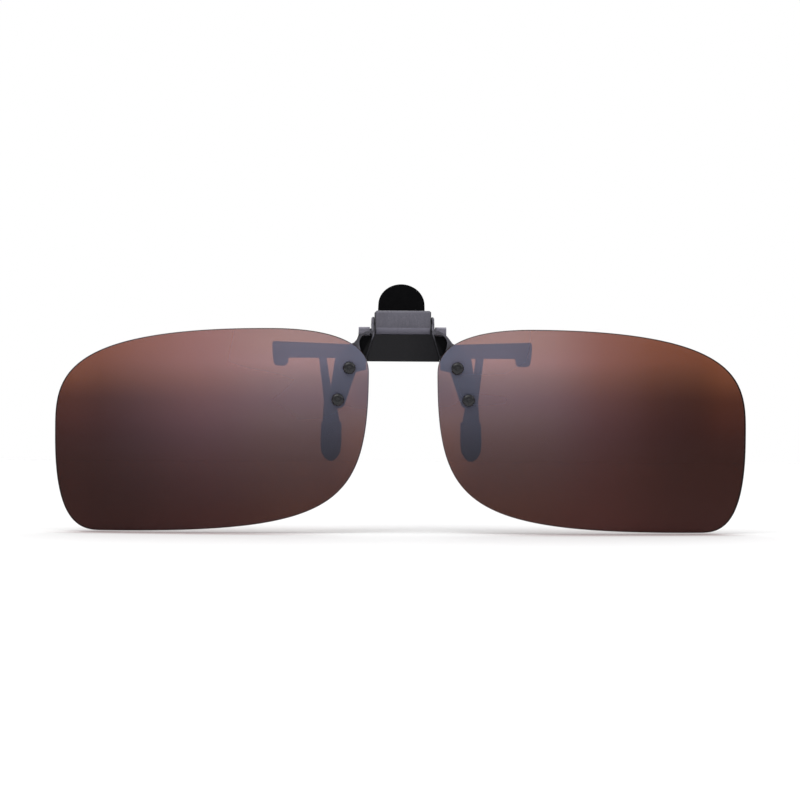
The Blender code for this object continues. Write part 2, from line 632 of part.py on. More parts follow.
def sleeve_outline(grow):
    return [(SLEEVE_X - 1.95 - grow, SLEEVE_TOP), (SLEEVE_X + 1.75 + grow, SLEEVE_TOP),
            (SLEEVE_X + 1.9 + grow, -15.5), (SLEEVE_X + 1.75 + grow, -17.4), (SLEEVE_X + 1.05 + grow * 0.6, -18.6),
            (SLEEVE_X - 0.05, SLEEVE_TIP), (SLEEVE_X - 1.05 - grow * 0.6, -18.6), (SLEEVE_X - 1.75 - grow, -17.4),
            (SLEEVE_X - 1.95 - grow, -15.5)]


for side, sx in (("right", 1), ("left", -1)):
    def flip(bm, sx=sx):
        return bm if sx == 1 else mirror_x(bm)
    sl = new_object("leg_sleeve_" + side,
                    flip(prism("Y", sleeve_outline(0.1), SLEEVE_Y - SLEEVE_T / 2, SLEEVE_Y + SLEEVE_T / 2)), SLEEVE,
                    (sx * SLEEVE_X, SLEEVE_Y, SLEEVE_TOP))
    room = [(11.8, SLEEVE_TOP + 1), (15.35, SLEEVE_TOP + 1), (15.22, -14.6), (14.88, -16.75),
            (13.6, LEG_TIP_Z - 0.15), (12.22, -16.75), (11.93, -14.6)]
    boolean(sl, cutter("sleeve_room_" + side,
                       flip(prism("Y", room, SLEEVE_Y - LEG_T / 2 - 0.07, SLEEVE_Y + LEG_T / 2 + 0.07))))

# ------------------------------------------------------------------ jaw spring
# coil round the jaw pin; one end rests on the hinge frame, the other under the tab
COIL_R, WIRE_R, TURNS, PITCH = 0.85, 0.15, 7, 0.5
pts = []
n_turn = 12
x0 = -TURNS * PITCH / 2
a_start, a_end = math.radians(215), math.radians(90) - TAB_LEAN + math.radians(-35)
total = 2 * math.pi * TURNS + (a_end - a_start) % (2 * math.pi)
steps = int(total / (2 * math.pi) * n_turn)
coil = []
for i in range(steps + 1):
    a = a_start + total * i / steps
    coil.append((x0 + PITCH * TURNS * i / steps, JAW_Y + COIL_R * math.cos(a), JAW_Z + COIL_R * math.sin(a)))
first = Vector(coil[0])
d0 = (first - Vector(coil[1])).normalized()
last = Vector(coil[-1])
d1 = (last - Vector(coil[-2])).normalized()
pts = [tuple(first + Vector((0, d0.y, d0.z)) * 1.0)] + coil + [tuple(last + Vector((0, d1.y, d1.z)) * 1.2)]
new_object("jaw_spring", tube(pts, WIRE_R, 6), STEEL, (0, JAW_Y, JAW_Z))

# --------------------------------------------------------------- detent spring
# bowed strip over the cam, its ends against the roof of the block's cavity
low_z = FLIP_Z + CAM_HALF + 0.04 + 0.07
roof_z = BLK_TOP - BLK_WALL - 0.05 - 0.07
strip = []
n = 8
for i in range(n + 1):
    t = -1 + 2 * i / n
    strip.append((FLIP_Y + 1.15 * t, low_z + (roof_z - low_z) * t * t))
strip = [(y, z - 0.07) for y, z in strip] + [(y, z + 0.07) for y, z in reversed(strip)]
new_object("detent_spring", prism("X", strip, -1.9, 1.9), STEEL, (0, FLIP_Y, roof_z))

# smooth shading on the round pieces
for name in ("flip_axle", "jaw_pin", "jaw_spring", "rivet_upper_left", "rivet_upper_right", "rivet_lower_left",
             "rivet_lower_right", "frame_rivet_left", "frame_rivet_right", "lens_left", "lens_right"):
    me = bpy.data.objects[name].data
    me.shade_smooth()
    me.set_sharp_from_angle(angle=math.radians(35))
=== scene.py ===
import math

import bmesh
import bpy
from mathutils import Matrix, Vector
from mathutils.geometry import delaunay_2d_cdt


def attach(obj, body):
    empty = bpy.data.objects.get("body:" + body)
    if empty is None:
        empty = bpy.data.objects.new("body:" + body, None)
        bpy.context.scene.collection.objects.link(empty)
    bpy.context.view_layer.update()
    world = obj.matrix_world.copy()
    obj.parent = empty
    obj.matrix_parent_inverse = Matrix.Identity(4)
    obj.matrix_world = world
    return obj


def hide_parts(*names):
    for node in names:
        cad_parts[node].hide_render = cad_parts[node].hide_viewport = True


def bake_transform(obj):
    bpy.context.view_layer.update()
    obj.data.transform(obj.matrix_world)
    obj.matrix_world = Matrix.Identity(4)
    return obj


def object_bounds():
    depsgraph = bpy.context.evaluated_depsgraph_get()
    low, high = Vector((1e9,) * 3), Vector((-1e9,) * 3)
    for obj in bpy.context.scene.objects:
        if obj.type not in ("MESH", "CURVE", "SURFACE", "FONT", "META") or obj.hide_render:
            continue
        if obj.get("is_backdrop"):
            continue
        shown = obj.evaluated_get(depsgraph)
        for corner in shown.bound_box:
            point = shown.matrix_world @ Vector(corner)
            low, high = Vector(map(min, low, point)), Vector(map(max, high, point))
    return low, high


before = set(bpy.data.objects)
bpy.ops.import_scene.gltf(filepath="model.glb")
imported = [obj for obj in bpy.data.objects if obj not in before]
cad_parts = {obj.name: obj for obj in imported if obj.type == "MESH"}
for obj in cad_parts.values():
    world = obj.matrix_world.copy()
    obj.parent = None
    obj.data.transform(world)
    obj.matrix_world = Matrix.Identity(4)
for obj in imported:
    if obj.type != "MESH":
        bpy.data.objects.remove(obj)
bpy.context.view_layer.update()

MM = 0.001
col = bpy.context.scene.collection


# =============================================================== mesh helpers
def to_object(name, bm, mat, smooth=None):
    """Object from a bmesh drawn in millimetres."""
    for v in bm.verts:
        v.co *= MM
    bmesh.ops.recalc_face_normals(bm, faces=bm.faces)
    me = bpy.data.meshes.new(name)
    bm.to_mesh(me)
    bm.free()
    me.materials.append(mat)
    ob = bpy.data.objects.new(name, me)
    col.objects.link(ob)
    if smooth is not None:
        me.shade_smooth()
        me.set_sharp_from_angle(angle=math.radians(smooth))
    return ob


def inside(p, poly):
    x, y = p
    hit = False
    n = len(poly)
    for i in range(n):
        x1, y1 = poly[i]
        x2, y2 = poly[(i + 1) % n]
        if (y1 > y) != (y2 > y) and x < (x2 - x1) * (y - y1) / (y2 - y1) + x1:
            hit = not hit
    return hit


def circle(cx, cy, r, n=32, start=0.0):
    return [(cx + r * math.cos(start + 2 * math.pi * i / n),
             cy + r * math.sin(start + 2 * math.pi * i / n)) for i in range(n)]


def arc(cx, cy, r, a0, a1, n):
    return [(cx + r * math.cos(math.radians(a0 + (a1 - a0) * i / n)),
             cy + r * math.sin(math.radians(a0 + (a1 - a0) * i / n))) for i in range(n + 1)]


def round_corners(poly, radii, n=5):
    if not hasattr(radii, "__len__"):
        radii = [radii] * len(poly)
    out = []
    m = len(poly)
    for i in range(m):
        p = Vector(poly[i])
        a = Vector(poly[i - 1]) - p
        b = Vector(poly[(i + 1) % m]) - p
        r = radii[i]
        half = a.angle(b) / 2
        if r <= 0 or half > math.radians(88):
            out.append(tuple(p))
            continue
        cut = min(r / math.tan(half), a.length * 0.48, b.length * 0.48)
        r = cut * math.tan(half)
        start, end = p + a.normalized() * cut, p + b.normalized() * cut
        centre = p + (a.normalized() + b.normalized()).normalized() * (r / math.sin(half))
        s, e = start - centre, end - centre
        turn = s.angle_signed(e)
        for k in range(n + 1):
            c, t = math.cos(-turn * k / n), math.sin(-turn * k / n)
            out.append((centre.x + s.x * c - s.y * t, centre.y + s.x * t + s.y * c))
    return out


def through(points, closed=False, m=6):
    """Catmull-Rom curve through the points."""
    pts = [Vector(p) for p in points]
    n = len(pts)
    out = []
    for i in range(n if closed else n - 1):
        a = pts[i - 1] if (closed or i > 0) else pts[0] * 2 - pts[1]
        b, c = pts[i], pts[(i + 1) % n]
        d = pts[(i + 2) % n] if (closed or i + 2 < n) else pts[-1] * 2 - pts[-2]
        for k in range(m):
            t = k / m
            out.append(tuple(0.5 * ((2 * b) + (c - a) * t + (2 * a - 5 * b + 4 * c - d) * t * t
                                    + (3 * b - a - 3 * c + d) * t ** 3)))
    if not closed:
        out.append(tuple(pts[-1]))
    return out


def even(loop, n, closed=True):
    """The same curve with n points at even steps."""
    pts = [Vector(p) for p in loop]
    if closed:
        pts.append(pts[0])
    run = [0.0]
    for a, b in zip(pts, pts[1:]):
        run.append(run[-1] + (b - a).length)
    out = []
    j = 0
    for i in range(n):
        s = run[-1] * i / (n if closed else n - 1)
        while j < len(run) - 2 and run[j + 1] < s:
            j += 1
        f = (s - run[j]) / max(run[j + 1] - run[j], 1e-12)
        out.append(tuple(pts[j].lerp(pts[j + 1], min(1.0, f))))
    return out


def dense(poly, step, closed=True):
    """Straight runs cut into short steps."""
    out = []
    n = len(poly)
    for i in range(n if closed else n - 1):
        a, b = Vector(poly[i]), Vector(poly[(i + 1) % n])
        k = max(1, int((b - a).length / step))
        out += [tuple(a.lerp(b, j / k)) for j in range(k)]
    return out if closed else out + [tuple(poly[-1])]


def inset(loop, d):
    """Loop moved inwards by d (anticlockwise or clockwise alike)."""
    n = len(loop)
    area = sum(loop[i][0] * loop[(i + 1) % n][1] - loop[(i + 1) % n][0] * loop[i][1] for i in range(n))
    s = 1 if area > 0 else -1
    out = []
    for i in range(n):
        t = (Vector(loop[(i + 1) % n]) - Vector(loop[i - 1])).normalized()
        out.append((loop[i][0] - t.y * d * s, loop[i][1] + t.x * d * s))
    return out


def cdt(outline, holes, grid, margin):
    """Triangles that fill the outline but not the holes, with points inside."""
    verts, edges = [], []
    for loop in [outline, *holes]:
        k = len(verts)
        verts += [Vector(p) for p in loop]
        edges += [(k + i, k + (i + 1) % len(loop)) for i in range(len(loop))]
    rim = list(verts)
    if grid:
        xs, zs = [p[0] for p in outline], [p[1] for p in outline]
        nx = max(1, round((max(xs) - min(xs)) / grid))
        nz = max(1, round((max(zs) - min(zs)) / (grid * 0.866)))
        for j in range(1, nz):
            for i in range(0, nx + 1):
                p = (min(xs) + (max(xs) - min(xs)) * (i + 0.5 * (j % 2)) / nx,
                     min(zs) + (max(zs) - min(zs)) * j / nz)
                if not inside(p, outline) or any(inside(p, h) for h in holes):
                    continue
                q = Vector(p)
                if min((q - r).length_squared for r in rim) < margin * margin:
                    continue
                verts.append(q)
    co, _, faces, *_ = delaunay_2d_cdt(verts, edges, [], 1, 1e-6)
    tris = []
    for f in faces:
        c = sum((co[i] for i in f), Vector((0, 0))) / len(f)
        if inside(c, outline) and not any(inside(c, h) for h in holes):
            tris.append(list(f))
    return co, tris


def plate(outline, holes, front, back, grid=0.0, margin=0.0, edge=0.12, steps=2, hole_edge=0.0):
    """Closed plate in X, Z between two surfaces, its outer rim rounded by `edge`.
    Works for smooth outlines; the rounding is made of loops, not of a modifier."""
    n = len(outline)
    core = inset(outline, edge) if edge else list(outline)
    co, tris = cdt(core, holes, grid, margin)
    bm = bmesh.new()
    fv = [bm.verts.new((p[0], front(p[0], p[1]), p[1])) for p in co]
    bv = [bm.verts.new((p[0], back(p[0], p[1]), p[1])) for p in co]
    count = {}
    for t in tris:
        bm.faces.new([fv[i] for i in t])
        bm.faces.new([bv[i] for i in reversed(t)])
        for a, b in zip(t, t[1:] + t[:1]):
            count[(a, b)] = 1
    open_edges = [(a, b) for (a, b) in count if (b, a) not in count]
    if not edge:
        for a, b in open_edges:
            bm.faces.new((fv[b], fv[a], bv[a], bv[b]))
        return bm
    # rim: rings from the front face's border round to the back face's border
    rings = [[fv[i] for i in range(n)]]
    for k in range(1, steps + 1):
        a = math.pi / 2 * k / steps
        lp = inset(outline, edge * (1 - math.sin(a)))
        rings.append([bm.verts.new((p[0], front(*core[i]) + edge * (1 - math.cos(a)), p[1]))
                      for i, p in enumerate(lp)])
    for k in range(0, steps):
        a = math.pi / 2 * (1 - k / steps)
        lp = inset(outline, edge * (1 - math.sin(a)))
        rings.append([bm.verts.new((p[0], back(*core[i]) - edge * (1 - math.cos(a)), p[1]))
                      for i, p in enumerate(lp)])
    rings.append([bv[i] for i in range(n)])
    for one, two in zip(rings, rings[1:]):
        for i in range(n):
            j = (i + 1) % n
            bm.faces.new((one[i], one[j], two[j], two[i]))
    rim_set = {(i, (i + 1) % n) for i in range(n)} | {((i + 1) % n, i) for i in range(n)}
    for a, b in open_edges:
        if (a, b) not in rim_set:
            bm.faces.new((fv[b], fv[a], bv[a], bv[b]))
    bmesh.ops.delete(bm, geom=[v for v in bm.verts if not v.link_faces], context='VERTS')
    return bm


def prism(axis, profile, lo, hi):
    def at(p, t):
        a, b = p
        return {"X": (t, a, b), "Y": (a, t, b), "Z": (a, b, t)}[axis]
    bm = bmesh.new()
    one = [bm.verts.new(at(p, lo)) for p in profile]
    two = [bm.verts.new(at(p, hi)) for p in profile]
    n = len(profile)
    bm.faces.new(one)
    bm.faces.new(list(reversed(two)))
    for i in range(n):
        bm.faces.new((one[i], two[i], two[(i + 1) % n], one[(i + 1) % n]))
    bmesh.ops.recalc_face_normals(bm, faces=bm.faces)
    return bm


def spin(profile, axis_point, axis, n=40):
    ax = Vector(axis).normalized()
    u = ax.orthogonal().normalized()
    w = ax.cross(u)
    o = Vector(axis_point)
    bm = bmesh.new()
    rings = []
    for t, r in profile:
        if r < 1e-6:
            rings.append([bm.verts.new(o + ax * t)])
        else:
            rings.append([bm.verts.new(o + ax * t + (u * math.cos(2 * math.pi * k / n)
                                                    + w * math.sin(2 * math.pi * k / n)) * r)
                          for k in range(n)])
    for a, b in zip(rings, rings[1:]):
        for k in range(n):
            k2 = (k + 1) % n
            if len(a) == 1:
                bm.faces.new((a[0], b[k], b[k2]))
            elif len(b) == 1:
                bm.faces.new((a[k], b[0], a[k2]))
            else:
                bm.faces.new((a[k], b[k], b[k2], a[k2]))
    bmesh.ops.recalc_face_normals(bm, faces=bm.faces)
    return bm


def tube(points, r, n=16):
    pts = [Vector(p) for p in points]
    bm = bmesh.new()
    rings = []
    side = None
    for i, p in enumerate(pts):
        d = (pts[min(i + 1, len(pts) - 1)] - pts[max(i - 1, 0)]).normalized()
        side = d.orthogonal() if side is None else side - d * side.dot(d)
        side.normalize()
        w = d.cross(side)
        rings.append([bm.verts.new(p + (side * math.cos(2 * math.pi * k / n)
                                        + w * math.sin(2 * math.pi * k / n)) * r) for k in range(n)])
    for a, b in zip(rings, rings[1:]):
        for k in range(n):
            bm.faces.new((a[k], b[k], b[(k + 1) % n], a[(k + 1) % n]))
    bm.faces.new(list(reversed(rings[0])))
    bm.faces.new(rings[-1])
    bmesh.ops.recalc_face_normals(bm, faces=bm.faces)
    return bm


def mirror_x(bm):
    for v in bm.verts:
        v.co.x = -v.co.x
    bmesh.ops.reverse_faces(bm, faces=bm.faces)
    return bm


def boolean(ob, bm, op='DIFFERENCE'):
    """Cuts or joins a body drawn in millimetres, and applies the result."""
    tool = to_object("tool", bm, ob.data.materials[0])
    m = ob.modifiers.new('b', 'BOOLEAN')
    m.operation, m.solver, m.object = op, 'EXACT', tool
    apply(ob)
    bpy.data.objects.remove(tool, do_unlink=True)
    return ob


def apply(ob):
    dg = bpy.context.evaluated_depsgraph_get()
    me = bpy.data.meshes.new_from_object(ob.evaluated_get(dg))
    ob.modifiers.clear()
    old = ob.data
    ob.data = me
    bpy.data.meshes.remove(old)


def merge(ob, dist=0.00002):
    bm = bmesh.new()
    bm.from_mesh(ob.data)
    bmesh.ops.remove_doubles(bm, verts=bm.verts, dist=dist * 0.1)
    bmesh.ops.dissolve_degenerate(bm, dist=dist * 0.1, edges=bm.edges)
    bm.to_mesh(ob.data)
    bm.free()


def soften(ob, width, segments=3, angle=28, sharp=40):
    """Rounds the sharp edges by `width` millimetres."""
    merge(ob)
    bm = bmesh.new()
    bm.from_mesh(ob.data)
    bmesh.ops.dissolve_limit(bm, angle_limit=math.radians(0.8), verts=bm.verts, edges=bm.edges)
    bm.to_mesh(ob.data)
    bm.free()
    m = ob.modifiers.new('bevel', 'BEVEL')
    m.width = width * MM
    m.segments = segments
    m.limit_method = 'ANGLE'
    m.angle_limit = math.radians(angle)
    m.use_clamp_overlap = True
    m.miter_outer = 'MITER_ARC'
    apply(ob)
    ob.data.shade_smooth()
    ob.data.set_sharp_from_angle(angle=math.radians(sharp))
    w = ob.modifiers.new('wn', 'WEIGHTED_NORMAL')
    w.keep_sharp = True
    w.weight = 60
    return ob


def settle(ob, body, node):
    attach(ob, body)
    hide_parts(node)
    return ob


# ================================================================== materials
class Nodes:
    """Small helper for building a material's node tree."""

    def __init__(self, name):
        self.mat = bpy.data.materials.new(name)
        self.mat.use_nodes = True
        self.t = self.mat.node_tree
        self.t.nodes.clear()
        self.out = self.t.nodes.new("ShaderNodeOutputMaterial")

    def add(self, kind, **props):
        n = self.t.nodes.new("ShaderNode" + kind)
        for k, v in props.items():
            setattr(n, k, v)
        return n

    def put(self, node, **values):
        for k, v in values.items():
            node.inputs[k.replace("_", " ")].default_value = v
        return node

    def link(self, a, b):
        self.t.links.new(a, b)

    def coords(self):
        return self.add("TexCoord").outputs["Object"]

    def noise(self, scale, detail=2.0, rough=0.5, vector=None, distortion=0.0):
        n = self.add("TexNoise")
        n.inputs["Scale"].default_value = scale
        n.inputs["Detail"].default_value = detail
        n.inputs["Roughness"].default_value = rough
        n.inputs["Distortion"].default_value = distortion
        self.link(vector or self.coords(), n.inputs["Vector"])
        return n.outputs["Fac"]

    def ramp(self, fac, stops, interp='LINEAR'):
        r = self.add("ValToRGB")
        r.color_ramp.interpolation = interp
        while len(r.color_ramp.elements) < len(stops):
            r.color_ramp.elements.new(0.5)
        for e, (p, c) in zip(r.color_ramp.elements, stops):
            e.position = p
            e.color = (*c, 1.0) if len(c) == 3 else c
        self.link(fac, r.inputs["Fac"])
        return r.outputs["Color"]

    def rng(self, value, a, b, c, d, smooth=False):
        m = self.add("MapRange")
        if smooth:
            m.interpolation_type = 'SMOOTHSTEP'
        for i, v in zip((1, 2, 3, 4), (a, b, c, d)):
            m.inputs[i].default_value = v
        self.link(value, m.inputs[0])
        return m.outputs[0]

    def math(self, op, a, b=None):
        m = self.add("Math", operation=op)
        for i, v in enumerate((a, b)):
            if v is None:
                continue
            if isinstance(v, (int, float)):
                m.inputs[i].default_value = v
            else:
                self.link(v, m.inputs[i])
        return m.outputs[0]

    def bump(self, height, strength, distance, normal=None):
        b = self.add("Bump")
        b.inputs["Strength"].default_value = strength
        b.inputs["Distance"].default_value = distance
        self.link(height, b.inputs["Height"])
        if normal:
            self.link(normal, b.inputs["Normal"])
        return b.outputs["Normal"]

    def mix(self, fac, a, b, blend='MIX'):
        m = self.add("Mix", data_type='RGBA', blend_type=blend)
        if isinstance(fac, (int, float)):
            m.inputs[0].default_value = fac
        else:
            self.link(fac, m.inputs[0])
        for i, v in ((6, a), (7, b)):
            if isinstance(v, tuple):
                m.inputs[i].default_value = (*v, 1.0) if len(v) == 3 else v
            else:
                self.link(v, m.inputs[i])
        return m.outputs[2]

    def finish(self, shader):
        self.link(shader, self.out.inputs["Surface"])
        return self.mat


def painted_crevice_shade(k, base, reach=0.0007, keep=0.25):
    """Painted shade: base colour darkened where the surface closes in on itself or a neighbour."""
    ao = k.add("AmbientOcclusion", samples=6)
    ao.inputs["Distance"].default_value = reach
    f = k.rng(ao.outputs["AO"], 0.35, 0.92, 1.0 - keep, 0.0)
    return k.mix(f, base, (0.0015, 0.0015, 0.002))


def moulded(name, rgb, rough=0.5, grain=0.00022, depth=0.000012, edge_wear_and_shade=0.25, spec=0.5, painted_light_band=None, strip=None, seam_shade_band=None):
    """Moulded plastic: spark-eroded grain, faint flow mottling, paler worn edges; optional painted shade on the edges,
    in crevices, at the block's ends and in the pockets, and a painted light band.
    """
    k = Nodes(name)
    p = k.add("BsdfPrincipled")
    fine = k.noise(1 / grain, 3.0, 0.6)
    finer = k.noise(2.3 / grain, 2.0, 0.5)
    cloud = k.noise(260.0, 3.0, 0.55)
    dark = tuple(c * 0.82 for c in rgb)
    light = tuple(min(1.0, c * 1.16) for c in rgb)
    base = k.ramp(fine, [(0.32, dark), (0.68, light)])
    base = k.mix(k.rng(cloud, 0.35, 0.65, 0.0, 0.35), base, tuple(c * 0.90 for c in rgb))
    if edge_wear_and_shade:
        # convex edges by geometry's pointiness: with the value above zero they go a little paler, as handled plastic
        # wears; below zero they go darker, a painted shade line along the edges
        geo = k.add("NewGeometry").outputs["Pointiness"]
        edge = k.math('MULTIPLY', k.rng(geo, 0.515, 0.60, 0.0, abs(edge_wear_and_shade)), k.rng(cloud, 0.3, 0.6, 0.4, 1.0))
        to = tuple(min(1.0, c * 1.5 + 0.01) for c in rgb) if edge_wear_and_shade > 0 else tuple(c * 0.18 for c in rgb)
        base = k.mix(edge, base, to)
    if painted_light_band or strip or seam_shade_band:
        sep = k.add("SeparateXYZ")
        k.link(k.coords(), sep.inputs[0])
        x, z = k.math('ABSOLUTE', sep.outputs["X"]), sep.outputs["Z"]
    if painted_light_band:
        # painted light: paler below or above a height, lifting a band that sits in shade: start, full, gain
        f = k.rng(z, painted_light_band[0], painted_light_band[1], 0.0, 1.0)
        base = k.mix(f, base, tuple(min(1.0, c * painted_light_band[2]) for c in rgb))
    if seam_shade_band:
        # painted shade: dark line at each end of the block, where the narrow gap to the ears lies in shade
        base = k.mix(k.rng(x, seam_shade_band[0], seam_shade_band[1], 0.0, 0.85), base, (0.012, 0.012, 0.014))
        # upright draw marks of the mould
        draw = k.add("VectorMath", operation='MULTIPLY')
        k.link(k.coords(), draw.inputs[0])
        draw.inputs[1].default_value = (3600.0, 3600.0, 800.0)
        marks = k.add("TexNoise")
        k.link(draw.outputs[0], marks.inputs["Vector"])
        marks.inputs["Scale"].default_value = 1.0
        marks.inputs["Detail"].default_value = 2.0
        base = k.mix(k.rng(marks.outputs[0], 0.52, 0.70, 0.0, 0.14), base, tuple(c * 1.9 for c in rgb))
        base = k.mix(k.rng(marks.outputs[0], 0.46, 0.30, 0.0, 0.14), base, tuple(c * 0.45 for c in rgb))
    if strip:
        # painted shade: the slanting strip beside the bar, and the pockets next to it, darkened and made less shiny
        f = k.rng(k.math('ADD', x, k.math('MULTIPLY', z, 0.54)), 0.0091, 0.0096, 1.0, 0.0)
        f = k.math('MULTIPLY', f, k.rng(z, 0.0002, 0.0009, 0.0, 1.0))
        f = k.math('MULTIPLY', f, k.rng(z, 0.0052, 0.0040, 0.0, 1.0))
        base = k.mix(k.math('MULTIPLY', f, 0.9), base, (0.010, 0.010, 0.012))
        k.link(k.rng(f, 0.0, 1.0, spec, 0.2), p.inputs["Specular IOR Level"])
    # painted shade in crevices and between parts
    k.link(painted_crevice_shade(k, base), p.inputs["Base Color"])
    r = k.rng(fine, 0.25, 0.75, rough - 0.07, rough + 0.08)
    k.link(r, p.inputs["Roughness"])
    n = k.bump(fine, 0.55, depth)
    n = k.bump(finer, 0.35, depth * 0.6, n)
    k.link(n, p.inputs["Normal"])
    p.inputs["IOR"].default_value = 1.46
    if not strip:
        p.inputs["Specular IOR Level"].default_value = spec
    return k.finish(p.outputs[0])


def rubber(name, rgb, rough=0.8, grain=0.00016, sheen=0.15, spec=0.35):
    k = Nodes(name)
    p = k.add("BsdfPrincipled")
    fine = k.noise(1 / grain, 2.0, 0.55)
    dust = k.noise(900.0, 4.0, 0.7)
    base = k.ramp(fine, [(0.3, tuple(c * 0.8 for c in rgb)), (0.7, tuple(c * 1.2 for c in rgb))])
    base = k.mix(k.rng(dust, 0.62, 0.78, 0.0, 0.10), base, tuple(min(1, c * 2.5 + 0.01) for c in rgb))
    k.link(base, p.inputs["Base Color"])
    k.link(k.rng(dust, 0.3, 0.7, rough - 0.08, min(1.0, rough + 0.08)), p.inputs["Roughness"])
    k.link(k.bump(fine, 0.6, 0.000012), p.inputs["Normal"])
    p.inputs["IOR"].default_value = 1.5
    p.inputs["Specular IOR Level"].default_value = spec
    p.inputs["Sheen Weight"].default_value = sheen
    p.inputs["Sheen Roughness"].default_value = 0.6
    return k.finish(p.outputs[0])


def metal(name, rgb, rough=0.25, stretch=(1, 14, 14)):
    """Drawn steel: fine scratches along the wire or the pin (the X axis)."""
    k = Nodes(name)
    p = k.add("BsdfPrincipled")
    mp = k.add("Mapping")
    mp.inputs["Scale"].default_value = stretch
    k.link(k.coords(), mp.inputs["Vector"])
    scratch = k.noise(1400.0, 3.0, 0.65, vector=mp.outputs["Vector"])
    stain = k.noise(700.0, 3.0, 0.6)
    k.link(k.ramp(stain, [(0.3, tuple(c * 0.8 for c in rgb)), (0.7, rgb)]), p.inputs["Base Color"])
    k.link(k.rng(scratch, 0.3, 0.7, rough - 0.07, rough + 0.12), p.inputs["Roughness"])
    k.link(k.bump(scratch, 0.25, 0.000004), p.inputs["Normal"])
    p.inputs["Metallic"].default_value = 1.0
    return k.finish(p.outputs[0])


LENS_TOP_Z, LENS_LOW_Z = 0.0063, -0.0325


